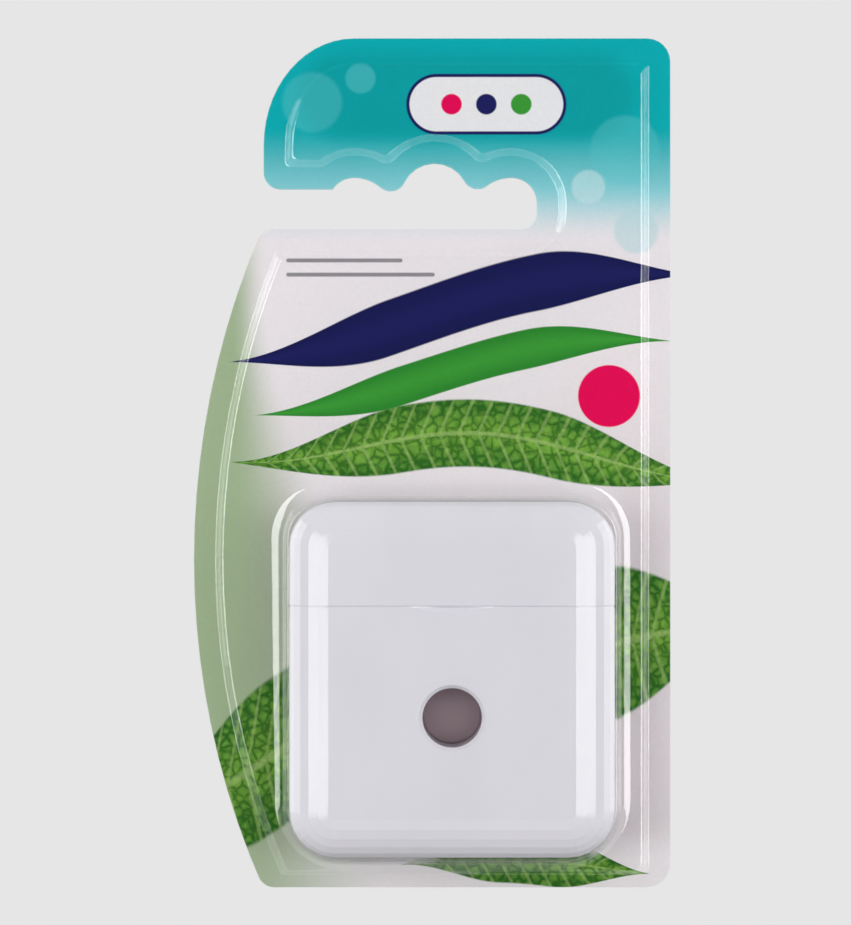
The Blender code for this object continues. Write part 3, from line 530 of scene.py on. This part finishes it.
@dataclass(frozen=True)
class ClearSheet:
    """Thin clear formed sheet, which mirrors more the flatter it is looked at."""

    straight_gloss: float = 0.046
    flat_gloss: float = 0.7
    gloss_power: float = 5.0
    tint_power: float = 3.0
    tint: Colour = (0.997, 1.0, 0.997)
    edge_tint: Colour = (0.97, 0.978, 0.972)
    clear: Colour = (1.0, 1.0, 1.0)
    haze: Colour = (0.99, 0.99, 0.99)
    frost: Colour = (0.88, 0.9, 0.89)
    roughness: float = 0.02
    haze_size: float = 6.0
    frost_size: float = 0.7
    frost_shares: Point = (0.45, 0.65)
    ripple_size: float = 9.0
    ripple: Point = (0.3, 0.05)

    def materials(self) -> list[Material]:
        """List the sheet's finishes: free, sealed to the board, and cut."""
        return [self.free(), self.sealed(), self.cut()]

    def sealed(self) -> Material:
        """Make the finish of the flange's back, where the seal leaves no mirror.

        Returns:
            The finish.
        """
        wiring = Wiring("sealed_sheet_back")
        haze = wiring.ramp(wiring.noise(self.haze_size), *MIDDLE)
        colour = wiring.mix(haze, self.haze, self.clear)
        return wiring.show(wiring.wire("BsdfTransparent", Color=colour))

    def cut(self) -> Material:
        """Make the finish of the trimmed edge, which scatters light.

        Returns:
            The finish.
        """
        wiring = Wiring("frosted_cut_edge")
        frost = wiring.wire("BsdfDiffuse", Color=self.frost)
        share = wiring.ramp(wiring.noise(self.frost_size), *MIDDLE, *self.frost_shares)
        return wiring.show(wiring.blend(share, wiring.wire("BsdfTransparent"), frost))

    def free(self) -> Material:
        """Make the finish of the sheet where air lies behind it.

        Returns:
            The finish.
        """
        wiring = Wiring("clear_formed_sheet")
        slope = wiring.node("LayerWeight", 0.5).outputs["Facing"]
        rise = wiring.sum(Sum.POWER, slope, self.gloss_power)
        gloss = wiring.sum(Sum.TIMES, rise, self.flat_gloss - self.straight_gloss)
        gloss = wiring.sum(Sum.ADD, gloss, self.straight_gloss)
        thick = wiring.sum(Sum.POWER, slope, self.tint_power)
        colour = wiring.mix(thick, self.tint, self.edge_tint)
        through = wiring.wire("BsdfTransparent", Color=colour)
        ripple = wiring.bump(wiring.noise(self.ripple_size, 1.0), *self.ripple)
        inputs = {"Color": self.clear, "Roughness": self.roughness, "Normal": ripple}
        mirror = wiring.wire("BsdfGlossy", **inputs)
        return wiring.show(wiring.blend(gloss, through, mirror))


@dataclass(frozen=True)
class Moulding:
    """Injection-moulded plastic with faint flow and a fine surface texture."""

    name: str
    colour: Colour
    roughness: float
    gloss: float = 0.5
    mottle: float = 0.035
    texture: float = 0.006
    flow_size: float = 14.0
    flow_stretch: Point3 = (1.0, 1.0, 0.5)
    grain_size: float = 0.5
    grain_zone: Point = (0.2, 0.8)
    unevenness: float = 0.15

    def material(self) -> Material:
        """Make the plastic's material.

        Returns:
            The material.
        """
        wiring = Wiring(self.name)
        flow = wiring.ramp(wiring.noise(self.flow_size, 3.0, self.flow_stretch), *MIDDLE)
        darker = tuple(c * (1 - self.mottle) for c in self.colour)
        fine = wiring.noise(self.grain_size)
        spread = [self.roughness * (1 + way * self.unevenness) for way in (-1, 1)]
        plastic = wiring.wire(
            "BsdfPrincipled",
            Base_Color=wiring.mix(flow, darker, self.colour),
            Specular_IOR_Level=self.gloss,
            Roughness=wiring.ramp(fine, *self.grain_zone, *spread),
            Normal=wiring.bump(fine, 0.3, self.texture),
        )
        return wiring.show(plastic)


@dataclass(frozen=True)
class BrushedSteel:
    """Stamped stainless strip with grinding lines along the strip."""

    colour: Colour = srgb(186, 188, 192)
    dark: Colour = srgb(150, 152, 156)
    line_size: float = 0.25
    line_stretch: Point3 = (0.04, 1.0, 1.0)
    line_zone: Point = (0.2, 0.8)
    roughness: Point = (0.22, 0.4)
    relief: Point = (0.4, 0.01)

    def material(self) -> Material:
        """Make the steel's material.

        Returns:
            The material.
        """
        wiring = Wiring("stamped_stainless")
        lines = wiring.noise(self.line_size, 3.0, self.line_stretch)
        steel = wiring.wire(
            "BsdfPrincipled",
            Base_Color=wiring.mix(wiring.ramp(lines, *MIDDLE), self.colour, self.dark),
            Metallic=1.0,
            Roughness=wiring.ramp(lines, *self.line_zone, *self.roughness),
            Normal=wiring.bump(lines, *self.relief),
        )
        return wiring.show(steel)


@dataclass(frozen=True)
class WaxedFloss:
    """Waxed multifilament floss, wound in close turns."""

    name: str
    pitch: float
    colour: Colour = srgb(236, 240, 236)
    shade: Colour = srgb(196, 208, 202)
    wander: float = 3.0
    roughness: float = 0.45
    sheen: float = 0.2
    relief: float = 0.7
    relief_share: float = 0.3

    def material(self) -> Material:
        """Make the floss's material.

        Returns:
            The material.
        """
        wiring = Wiring(self.name)
        y = wiring.places()[1]
        phase = wiring.sum(Sum.TIMES, y, 2 * math.pi / self.pitch)
        lean = wiring.sum(Sum.ADD, phase, wiring.noise(self.wander))
        turn = wiring.ramp(wiring.sum(Sum.SINE, lean), -1.0, 1.0)
        floss = wiring.wire(
            "BsdfPrincipled",
            Base_Color=wiring.mix(turn, self.shade, self.colour),
            Roughness=self.roughness,
            Sheen_Weight=self.sheen,
            Normal=wiring.bump(turn, self.relief, self.pitch * self.relief_share),
        )
        return wiring.show(floss)


def arc(centre: Point, radii: Point, start: float, stop: float, steps: int) -> list[Point]:
    """List points on an arc, both ends included.

    Args:
        centre: The arc's centre as (x, z).
        radii: Its radii along x and z.
        start: The first angle, in radians.
        stop: The last angle.
        steps: How many steps it takes.

    Returns:
        The points.
    """
    points = []
    for step in range(steps + 1):
        angle = start + (stop - start) * step / steps
        across, along = radii[0] * math.cos(angle), radii[1] * math.sin(angle)
        points.append((centre[0] + across, centre[1] + along))
    return points


def circle(centre: Point, radius: float, steps: int) -> list[Point]:
    """List points on a circle, each once."""
    return arc(centre, (radius, radius), 0, 2 * math.pi, steps)[:-1]


def corner(before: Point, tip: Point, after: Point, radius: float, steps: int) -> list[Point]:
    """Round the corner of two straight runs.

    Args:
        before: A point on the run that leads to the corner.
        tip: The sharp corner.
        after: A point on the run that leaves it.
        radius: The radius of the rounding.
        steps: How many steps it takes.

    Returns:
        The points of the rounding.
    """
    here = Vector(tip)
    inward = (Vector(before) - here).normalized()
    outward = (Vector(after) - here).normalized()
    half = inward.angle(outward) / 2
    centre = here + (inward + outward).normalized() * radius / math.sin(half)
    first = here + inward * radius / math.tan(half) - centre
    last = here + outward * radius / math.tan(half) - centre
    turn = first.angle_signed(last)
    points = []
    for step in range(steps + 1):
        spoke = first.copy()
        spoke.rotate(Matrix.Rotation(-turn * step / steps, 2))
        points.append(tuple(centre + spoke))
    return points


def circles_meet(first: Point, second: Point, radii: Point) -> Point:
    """Find the upper point where two circles meet.

    Args:
        first: The centre of the left circle.
        second: The centre of the right circle.
        radii: The radii of the two.

    Returns:
        The point.
    """
    base = Vector(first)
    between = Vector(second) - base
    span = between.length
    along = (span**2 + radii[0]**2 - radii[1]**2) / (2 * span)
    away = math.sqrt(radii[0]**2 - along**2)
    between.normalize()
    return tuple(base + between * along + Vector((-between.y, between.x)) * away)


def bearing(start: Point, end: Point) -> float:
    """Give the angle in radians at which one point sees another."""
    return math.atan2(end[1] - start[1], end[0] - start[0])


@dataclass(frozen=True)
class CardShape:
    """The die-cut outline of the hang card, in metres of the shared frame."""

    top: float = 19.4 * MM
    right: float = 36.5 * MM
    foot: float = -112.1 * MM
    belly_reach: float = 37.3 * MM
    belly_drop: float = 61.4 * MM
    radius_above: float = 130.0 * MM
    belly_bulge: float = 10.7 * MM
    header_reach: float = 26.5 * MM
    header_arc: Point = (14.0 * MM, 16.5 * MM)
    top_corner: float = 3.6 * MM
    foot_corner: float = 3.7 * MM
    small_corner: float = 2.6 * MM
    arch: float = 5.2 * MM
    side_offsets: Point = (12.5 * MM, 11.9 * MM)
    side_drop: float = 2.2 * MM
    side_radii: Point = (6.3 * MM, 3.9 * MM)
    hump: float = 2.4 * MM
    tightest_hump: float = 1.2 * MM
    roof_drop: float = 4.0 * MM
    floor_drop: float = 10.15 * MM
    slot_end: float = 2.4 * MM
    foot_share: float = 0.6
    tight_share: float = 0.35
    steps: int = 8
    corner_steps: int = 6
    header_steps: int = 14
    side_steps: int = 10

    def tight(self, radius: float, inset: float) -> float:
        """Shrink an outer corner's radius with the inset, but keep it round."""
        return max(radius - inset, radius * self.tight_share)

    def belly(self, z: float, inset: float) -> float:
        """Find the bowed left side.

        Args:
            z: The height.
            inset: How far the outline lies inside the card's edge.

        Returns:
            The side's x at that height.
        """
        chord = -self.belly_drop - self.foot
        below = (chord**2 + self.belly_bulge**2) / (2 * self.belly_bulge)
        radius = self.radius_above if z > -self.belly_drop else below
        rise = z + self.belly_drop
        return -self.belly_reach + radius - math.sqrt((radius - inset) ** 2 - rise**2)

    def arches(self, inset: float) -> list[Point]:
        """Trace the slot's three arches as one wave, and its right end.

        Args:
            inset: How far the outline lies inside the card's edge.

        Returns:
            Points as (x, z), from left to right.
        """
        inner, outer = (radius + inset for radius in self.side_radii)
        middle, hump = self.arch + inset, max(self.hump - inset, self.tightest_hump)
        inner_z, outer_z = (-self.side_drop - radius for radius in self.side_radii)
        crown, up = (0, -self.arch), math.pi / 2
        left, right = (-self.side_offsets[0], inner_z), (self.side_offsets[1], inner_z)
        humps = (
            circles_meet(left, crown, (inner + hump, middle + hump)),
            circles_meet(crown, right, (middle + hump, inner + hump)),
        )
        first, second = bearing(left, humps[0]), bearing(crown, humps[0])
        third, fourth = bearing(crown, humps[1]), bearing(right, humps[1])
        roof = math.asin((-self.roof_drop + inset - outer_z) / outer)
        runs = [
            ((left[0], outer_z), outer, math.pi - roof, up),
            (left, inner, up, first),
            (humps[0], hump, first - math.pi, second - math.pi),
            (crown, middle, second, third),
            (humps[1], hump, third - math.pi, fourth - math.pi),
            (right, inner, fourth, up),
            ((right[0], outer_z), outer, up, 0),
        ]
        points = []
        for centre, radius, start, stop in runs:
            points += arc(centre, (radius, radius), start, stop, self.steps)[min(len(points), 1):]
        end_x = self.side_offsets[1] + self.side_radii[1] - self.slot_end
        end, reach = (end_x, self.slot_end - self.floor_drop), self.slot_end + inset
        return points + arc(end, (reach, reach), 0, -up, self.corner_steps)

    def outline(self, inset: float) -> list[Point]:
        """Trace the card anticlockwise, drawn in all round.

        Args:
            inset: How far the outline lies inside the card's edge.

        Returns:
            Points as (x, z), as many for every inset.
        """
        top, right = self.top - inset, self.right - inset
        roof, floor = inset - self.roof_drop, -self.floor_drop - inset
        foot = self.foot + inset * self.foot_share
        centre = (self.header_arc[0] - self.header_reach, self.top - self.header_arc[1])
        radii = (self.header_arc[0] - inset, self.header_arc[1] - inset)
        header = arc(centre, radii, math.pi / 2, math.pi, self.header_steps)
        arches = self.arches(inset)
        side = []
        for start, stop, first in ((floor, -self.belly_drop, 1), (-self.belly_drop, foot, 0)):
            for step in range(first, self.side_steps):
                z = start + (stop - start) * step / self.side_steps
                side.append((self.belly(z, inset), z))
        foot_left, foot_right = (self.belly(foot, inset), foot), (right, foot)
        roof_end, floor_end = (inset - self.header_reach, roof), (self.belly(floor, inset), floor)
        top_right = (right, top)
        turns = [
            (foot_right, top_right, header[0], self.top_corner, header),
            (header[-1], roof_end, arches[0], self.small_corner, arches),
            (arches[-1], floor_end, side[0], self.small_corner, side),
            (side[-1], foot_left, foot_right, self.small_corner, []),
            (foot_left, foot_right, top_right, self.foot_corner, []),
        ]
        points = []
        for before, tip, after, radius, run in turns:
            radius = self.tight(radius, inset)
            points += [*corner(before, tip, after, radius, self.corner_steps), *run]
        return points


@dataclass(frozen=True)
class Bubble:
    """The formed bubble's outline, with its draft and soft edges, in metres."""

    left: float = -22.1 * MM
    right: float = 27.3 * MM
    foot: float = -106.2 * MM
    top: float = -52.1 * MM
    margins: Point3 = (1.05 * MM, 1.0 * MM, 1.1 * MM)
    drafts: Point3 = (0.2 * MM, 0.3 * MM, 0.4 * MM)
    corners: Point = (6.6 * MM, 8.6 * MM)
    lean: float = 0.35 * MM
    steps: int = 12

    def outline(self, drawn_in: float, extra: float, flare: float = 0.0) -> list[Point]:
        """Trace the bubble.

        Args:
            drawn_in: The share of the draft, 0 at the root and 1 at the crest.
            extra: How far the outline is drawn in beyond that.
            flare: The share of the left side's lean, which widens the root upwards.

        Returns:
            Points as (x, z), anticlockwise.
        """
        side, top, foot = (m - d * drawn_in - extra for m, d in zip(self.margins, self.drafts))
        high, low = (c - self.drafts[0] * drawn_in - extra for c in self.corners)
        x_low, x_high = self.left - side, self.right + side
        z_low, z_high = self.foot - foot, self.top + top
        spots = [
            (x_high - high, z_high - high, high, 0),
            (x_low + high, z_high - high, high, 1),
            (x_low + low, z_low + low, low, 2),
            (x_high - low, z_low + low, low, 3),
        ]
        points = []
        for x, z, radius, quarter in spots:
            start = quarter * math.pi / 2
            points += arc((x, z), (radius, radius), start, start + math.pi / 2, self.steps)
        return [self.leaned(x, z, flare) for x, z in points]

    def leaned(self, x: float, z: float, flare: float) -> Point:
        """Move a point with the left side's lean.

        Args:
            x: The point's x.
            z: Its z.
            flare: The share of the lean.

        Returns:
            The moved point.
        """
        middle_x, middle_z = (self.left + self.right) / 2, (self.foot + self.top) / 2
        leftness = max(middle_x - x, 0.0) / (middle_x - self.left)
        height = (z - middle_z) / (self.top - middle_z)
        return x - self.lean * flare * leftness * height, z


class MeshMaker:
    """Builds one mesh from rings of points and makes a piece of it."""

    SHARP = math.radians(50.0)

    def __init__(self) -> None:
        """Start an empty mesh."""
        self.mesh = bmesh.new()

    def ring(self, outline: list[Point], y: float) -> Ring:
        """Add a ring of points at one depth."""
        return [self.mesh.verts.new((x, y, z)) for x, z in outline]

    def skin(self, first: Ring, second: Ring, finish: int = 0) -> None:
        """Join two rings that have as many points as each other.

        Args:
            first: One ring.
            second: The other.
            finish: Which of the piece's materials the faces take.
        """
        for index in range(len(first)):
            after = (index + 1) % len(first)
            face = self.mesh.faces.new((first[index], first[after], second[after], second[index]))
            face.material_index = finish

    def skins(self, rings: list[Ring]) -> None:
        """Join rings one after another."""
        for first, second in zip(rings, rings[1:]):
            self.skin(first, second)

    def fill(self, outer: Ring, inner: Ring) -> None:
        """Fill the flat region between two rings at one depth.

        Args:
            outer: The ring round it.
            inner: The ring that it goes round.
        """
        edges = []
        for ring in (outer, inner):
            for index, vertex in enumerate(ring):
                edges.append(self.mesh.edges.get((vertex, ring[(index + 1) % len(ring)])))
        bmesh.ops.triangle_fill(self.mesh, edges=edges, use_beauty=True, normal=(0, -1, 0))

    def piece(self, name: str, *materials: Material) -> Piece:
        """Turn the mesh into a smooth shaded piece.

        Args:
            name: The piece's name.
            materials: Its materials.

        Returns:
            The piece.
        """
        bmesh.ops.recalc_face_normals(self.mesh, faces=self.mesh.faces)
        data = bpy.data.meshes.new(name)
        self.mesh.to_mesh(data)
        self.mesh.free()
        data.shade_smooth()
        data.set_sharp_from_angle(angle=self.SHARP)
        made = bpy.data.objects.new(name, data)
        bpy.context.scene.collection.objects.link(made)
        dress(made, *materials)
        even_shading(made)
        return made


@dataclass
class Blister:
    """The clear formed sheet: flange, raised panel and bubble."""

    shape: CardShape = CardShape()
    bubble: Bubble = Bubble()
    finish: ClearSheet = ClearSheet()
    back: float = -0.75 * MM
    thickness: float = 0.35 * MM
    edge_width: float = 0.13 * MM
    panel_rise: float = 1.0 * MM
    panel_inset: float = 4.65 * MM
    head_rounds: tuple[Point, ...] = ((1.0 * MM, 25.0), (0.25 * MM, 52.0))
    foot_round: float = 0.35 * MM
    root_round: Point = (1.95 * MM, 0.8 * MM)
    root_draft: float = 0.05
    crest: float = -19.75 * MM
    crest_round: float = 0.9 * MM
    round_steps: int = 8

    def bend(self, start: Point3, radius: float, stop: float) -> list[Point3]:
        """Turn the panel's edge along an arc.

        Args:
            start: The last point before the arc, as ramp gives it.
            radius: The arc's radius, below 0 where the edge levels out.
            stop: The tilt at the arc's end.

        Returns:
            Points as ramp gives them, without the first.
        """
        out, fall, tilt = start
        points = []
        for step in range(1, self.round_steps + 1):
            here = tilt + (stop - tilt) * step / self.round_steps
            across = out + radius * (math.sin(here) - math.sin(tilt))
            points.append((across, fall + radius * (math.cos(tilt) - math.cos(here)), here))
        return points

    def ramp(self) -> list[Point3]:
        """Trace the panel's edge from its head to its foot.

        Returns:
            Points as (distance outwards, fall, tilt in radians).
        """
        points = [(0.0, 0.0, 0.0)]
        for radius, steepest in self.head_rounds:
            points += self.bend(points[-1], radius, math.radians(steepest))
        out, fall, tilt = points[-1]
        straight = self.panel_rise - fall - self.foot_round * (1 - math.cos(tilt))
        points.append((out + straight / math.tan(tilt), fall + straight, tilt))
        return points + self.bend(points[-1], -self.foot_round, 0.0)

    def side(self, maker: MeshMaker, sheet: float) -> Ring:
        """Build one side of the sheet.

        Args:
            maker: The mesh that it goes into.
            sheet: How far this side lies behind the front one.

        Returns:
            The rim ring.
        """
        flange = self.back - self.thickness
        panel = flange - self.panel_rise
        rings = []
        for out, fall, tilt in self.ramp():
            inset = self.panel_inset - out + sheet * math.sin(tilt)
            y = panel + fall + sheet * math.cos(tilt)
            rings.append(maker.ring(self.shape.outline(inset), y))
        maker.skins(rings)
        rim = maker.ring(self.shape.outline(0.0 if sheet else self.edge_width), flange + sheet)
        maker.skin(rings[-1], rim, 1 if sheet else 0)
        levels = self.wall(maker, panel, sheet)
        maker.skins(levels)
        maker.mesh.faces.new(levels[-1])
        maker.fill(rings[0], levels[0])
        return rim

    def wall(self, maker: MeshMaker, panel: float, sheet: float) -> list[Ring]:
        """Build the bubble's wall, from a rounded root to a rounded crest.

        Args:
            maker: The mesh that it goes into.
            panel: The depth of the panel's front.
            sheet: How far this side lies behind the front one.

        Returns:
            The rings, from the panel to the crest.
        """
        turns = [math.pi / 2 * step / self.round_steps for step in range(self.round_steps + 1)]
        reach, rise = self.root_round
        rings = []
        for step, angle in enumerate(turns):
            tilt = math.atan2(rise * math.sin(angle), reach * math.cos(angle))
            flare = 1 - math.sin(angle)
            draft = self.root_draft * step / self.round_steps
            outline = self.bubble.outline(draft, sheet * math.sin(tilt) - reach * flare, flare)
            y = panel - rise * (1 - math.cos(angle)) + sheet * math.cos(tilt)
            rings.append(maker.ring(outline, y))
        edge = self.crest_round - sheet
        for angle in turns:
            outline = self.bubble.outline(1.0, sheet + edge * (1 - math.cos(angle)))
            rings.append(maker.ring(outline, self.crest + sheet + edge * (1 - math.sin(angle))))
        return rings

    def build(self) -> Piece:
        """Build the sheet in place of its plain solid.

        Returns:
            The sheet.
        """
        maker = MeshMaker()
        rims = [self.side(maker, sheet) for sheet in (0.0, self.thickness)]
        maker.skin(rims[0], rims[1], 2)
        made = maker.piece("formed_sheet", *self.finish.materials())
        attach(made, Body.BLISTER.value)
        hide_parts("blister_shell")
        return made


@dataclass
class HangCard:
    """The printed card that carries the pack."""

    finish: PrintedBoard = PrintedBoard()

    def build(self) -> Piece:
        """Dress the card.

        Returns:
            The card.
        """
        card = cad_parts["backing_card"]
        dress(card, self.finish.material())
        return card


@dataclass
class RimStep:
    """The case's low step that closes the seam under the lid, at the front and sides."""

    centre: float = 2.6 * MM
    half_width: float = 24.7 * MM
    front: float = -18.75 * MM
    rear_end: float = -5.0 * MM
    edge: Point = (6.0 * MM, 3.0 * MM)
    levels: Point = (-68.3 * MM, -67.99 * MM)
    insets: Point = (0.12 * MM, 0.95 * MM)
    scoop_half: float = 6.5 * MM
    scoop_depth: float = 0.42 * MM
    steps: int = 12

    def path(self, inset: float) -> list[Point]:
        """Trace the step from its left end round the front to its right end.

        Args:
            inset: How far it lies inside the case's skin.

        Returns:
            Points as (x, y).
        """
        reach, depth = (radius - inset for radius in self.edge)
        y = self.front + self.edge[1]
        side = self.half_width - self.edge[0]
        left = arc((self.centre - side, y), (reach, depth), math.pi, 1.5 * math.pi, self.steps)
        right = arc((self.centre + side, y), (reach, depth), 1.5 * math.pi, 2 * math.pi, self.steps)
        scoop = []
        for step in range(-self.steps, self.steps + 1):
            share = step / self.steps
            back = self.scoop_depth * (1 - share * share)
            scoop.append((self.centre + share * self.scoop_half, self.front + inset + back))
        ends = [(self.centre + way * (self.half_width - inset), self.rear_end) for way in (-1, 1)]
        return [ends[0], *left, *scoop, *right, ends[1]]

    def build(self, material: Material) -> Piece:
        """Build the step on the case's rim.

        Args:
            material: What it is made of.

        Returns:
            The step.
        """
        maker = MeshMaker()
        outer, inner = (self.path(inset) for inset in self.insets)
        low, high = self.levels
        runs = [
            [maker.mesh.verts.new((x, y, z)) for x, y in path]
            for path, z in ((outer, low), (outer, high), (inner, high), (inner, low))
        ]
        for first, second in zip(runs, [*runs[1:], runs[0]]):
            for (a, b), (d, c) in zip(zip(first, first[1:]), zip(second, second[1:])):
                maker.mesh.faces.new((a, b, c, d))
        for end in (0, -1):
            maker.mesh.faces.new([run[end] for run in runs])
        made = maker.piece("case_rim_step", material)
        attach(made, Body.CASE.value)
        return made


@dataclass
class PlugSkirt:
    """The plug's thin skirt, which meets the bore of the round window."""

    centre: Point = (2.6 * MM, -84.85 * MM)
    radii: Point = (4.1 * MM, 4.48 * MM)
    levels: Point = (-8.72 * MM, -8.1 * MM)
    lip: float = 0.08 * MM
    steps: int = 64

    def build(self, material: Material) -> Piece:
        """Build the skirt round the plug's front end.

        Args:
            material: What it is made of.

        Returns:
            The skirt.
        """
        maker = MeshMaker()
        inner, outer = self.radii
        near, far = self.levels
        profile = [
            (inner, near),
            (outer - self.lip, near),
            (outer, near + self.lip),
            (outer, far),
            (inner, far),
        ]
        rings = []
        for radius, y in profile:
            rings.append(maker.ring(circle(self.centre, radius, self.steps), y))
        maker.skins([*rings, rings[0]])
        made = maker.piece("plug_skirt", material)
        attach(made, Body.CASE.value)
        return made


@dataclass
class Dispenser:
    """The white case and lid with the spool, deck and cutter inside."""

    white: Moulding = Moulding("glossy_white_moulding", srgb(239, 236, 244), 0.1, 0.6)
    # The plug's taupe is partly its own colour and partly painted shade, standing in for the dark
    # seen down the window's bore.
    taupe_and_painted_shade: Moulding = Moulding("taupe_plug_and_painted_shade", srgb(160, 140, 146), 0.5, 0.3, 0.06, 0.012)
    bobbin: Moulding = Moulding("pale_bobbin_moulding", srgb(206, 216, 218), 0.4, 0.4)
    steel: BrushedSteel = BrushedSteel()
    winding: WaxedFloss = WaxedFloss("wound_waxed_floss", 0.6)
    strand: WaxedFloss = WaxedFloss("drawn_waxed_strand", 0.35)

    def build(self) -> list[Piece]:
        """Dress every moulded and metal piece of the dispenser, and add its small ones.

        Returns:
            The pieces.
        """
        white, taupe_and_painted_shade = self.white.material(), self.taupe_and_painted_shade.material()
        finishes = dict.fromkeys(("front_shell", "rear_shell", "lid", "outlet_deck"), white)
        finishes["cutter"] = self.steel.material()
        # Painted shade, in part: the taupe plug and its skirt stand in for the dark down the
        # window's bore.
        finishes["spindle_plug"] = taupe_and_painted_shade
        finishes["floss_core"] = self.bobbin.material()
        finishes["floss_winding"] = self.winding.material()
        finishes["floss_lead"] = self.strand.material()
        made = []
        for name, material in finishes.items():
            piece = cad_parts[name]
            dress(piece, material)
            even_shading(piece)
            made.append(piece)
        return [*made, RimStep().build(white), PlugSkirt().build(taupe_and_painted_shade)]


@dataclass
class Lamp:
    """A flat soft lamp at the pack's height, which faces it."""

    name: str
    bearing: float
    distance: float
    width: float
    length: float
    radiance: float

    def build(self, aim: Vector, side: str, way: int) -> None:
        """Place the lamp on one side of the pack.

        Args:
            aim: The point that it faces.
            side: The side's name.
            way: -1 for the left side and 1 for the right one.
        """
        name = f"{side}_{self.name}"
        data = bpy.data.lights.new(name, "AREA")
        data.shape = "RECTANGLE"
        data.size, data.size_y = self.width, self.length
        data.energy = self.radiance * math.pi * self.width * self.length
        lamp = bpy.data.objects.new(name, data)
        angle = math.radians(self.bearing) * way
        offset = Vector((math.sin(angle), -math.cos(angle), 0.0)) * self.distance
        lamp.location = aim + offset
        lamp.rotation_euler = (-offset).to_track_quat("-Z", "Y").to_euler()
        lamp.visible_camera = False
        bpy.context.scene.collection.objects.link(lamp)


@dataclass
class Studio:
    """Camera, pale surround, floor and soft lamps."""

    view: Point = (-1.426 * MM, -46.3 * MM)
    distance: float = 0.7
    frame_height: float = 925 * 0.155 * MM
    sensor: float = 36.0
    clip: Point = (0.01, 20.0)
    pale: Colour = srgb(230, 230, 230)
    white: Colour = (1.0, 1.0, 1.0)
    floor_height: float = -0.19
    floor_radius: float = 0.70
    floor_rings: tuple[float, ...] = (0.02, 0.3, 0.6, 1.0)
    floor_fade: Point = (200.0, 665.0)
    floor_steps: int = 96
    ambient: Point = (0.67, 0.395)
    ambient_heights: Point = (0.15, 0.85)
    dark: float = 0.03
    dark_depths: Point = (0.0, 0.7)
    floor_paint: Colour = srgb(246, 246, 246)
    bounce: Colour = (0.15, 0.15, 0.15)
    floor_glow: float = 0.15
    lamps: tuple[Lamp, ...] = (
        Lamp("softbox", 19.5, 0.8, 0.34, 0.30, 4.75),
        Lamp("front_panel", 73.5, 0.7, 0.285, 0.9, 2.3),
        Lamp("rear_panel", 110.0, 0.7, 0.375, 0.9, 2.3),
    )

    def camera(self) -> None:
        """Set the camera square to the pack, at the photograph's distance."""
        data = bpy.data.cameras.new("front_camera")
        data.sensor_width = self.sensor
        data.lens = self.sensor * self.distance / self.frame_height
        data.clip_start, data.clip_end = self.clip
        camera = bpy.data.objects.new("front_camera", data)
        camera.location = (self.view[0], -self.distance, self.view[1])
        camera.rotation_euler = (math.pi / 2, 0, 0)
        bpy.context.scene.collection.objects.link(camera)
        bpy.context.scene.camera = camera

    def surround(self) -> None:
        """Light the pack softly all round, pale behind it and dark behind the camera."""
        wiring = Wiring("soft_surround", world=True)
        path = wiring.node("LightPath").outputs
        _, y, z = wiring.split(wiring.node("TexCoord").outputs["Generated"])
        mirrored = wiring.ramp(y, *self.dark_depths, self.dark, self.pale[0])
        lighting = wiring.ramp(wiring.sum(Sum.SIZE, z), *self.ambient_heights, *self.ambient)
        bounced = wiring.sum(Sum.MOST, path["Is Glossy Ray"], path["Is Transmission Ray"])
        unseen = wiring.ramp(bounced, 0.0, 1.0, lighting, mirrored)
        seen = wiring.ramp(path["Is Camera Ray"], 0.0, 1.0, unseen, self.pale[0])
        light = wiring.wire("Background", Color=self.white, Strength=seen)
        bpy.context.scene.world = wiring.show(light)

    def floor(self) -> None:
        """Lay a round pale floor that fades into the surround and keeps the shadow."""
        wiring = Wiring("pale_floor")
        x, y, _ = wiring.places()
        fade = wiring.ramp(wiring.away(x, y), *self.floor_fade)
        lit = wiring.node("LightPath").outputs["Is Diffuse Ray"]
        matt = wiring.wire("BsdfDiffuse", Color=wiring.mix(lit, self.floor_paint, self.bounce))
        strength = wiring.ramp(lit, 0.0, 1.0, 1.0, self.floor_glow)
        glow = wiring.wire("Emission", Color=self.pale, Strength=strength)
        finish = wiring.show(wiring.blend(fade, matt, glow))
        maker = MeshMaker()
        rings = []
        for share in self.floor_rings:
            points = circle((0, 0), self.floor_radius * share, self.floor_steps)
            rings.append([maker.mesh.verts.new((*point, self.floor_height)) for point in points])
        maker.skins(rings)
        maker.mesh.faces.new(rings[0])
        made = maker.piece("floor", finish)

    def build(self) -> None:
        """Build the studio."""
        self.camera()
        self.surround()
        self.floor()
        aim = Vector((self.view[0], 0.0, self.view[1]))
        for lamp in self.lamps:
            lamp.build(aim, "left", -1)
            lamp.build(aim, "right", 1)
        bpy.context.scene.view_settings.view_transform = "Standard"


def main() -> None:
    """Build the studio and dress the pack, and report each piece."""
    Studio().build()
    made = [HangCard().build(), Blister().build(), *Dispenser().build()]
    for piece in made:
        log.info("%s: %s", piece.name, ", ".join(m.name for m in piece.data.materials))


if __name__ == "__main__":
    main()
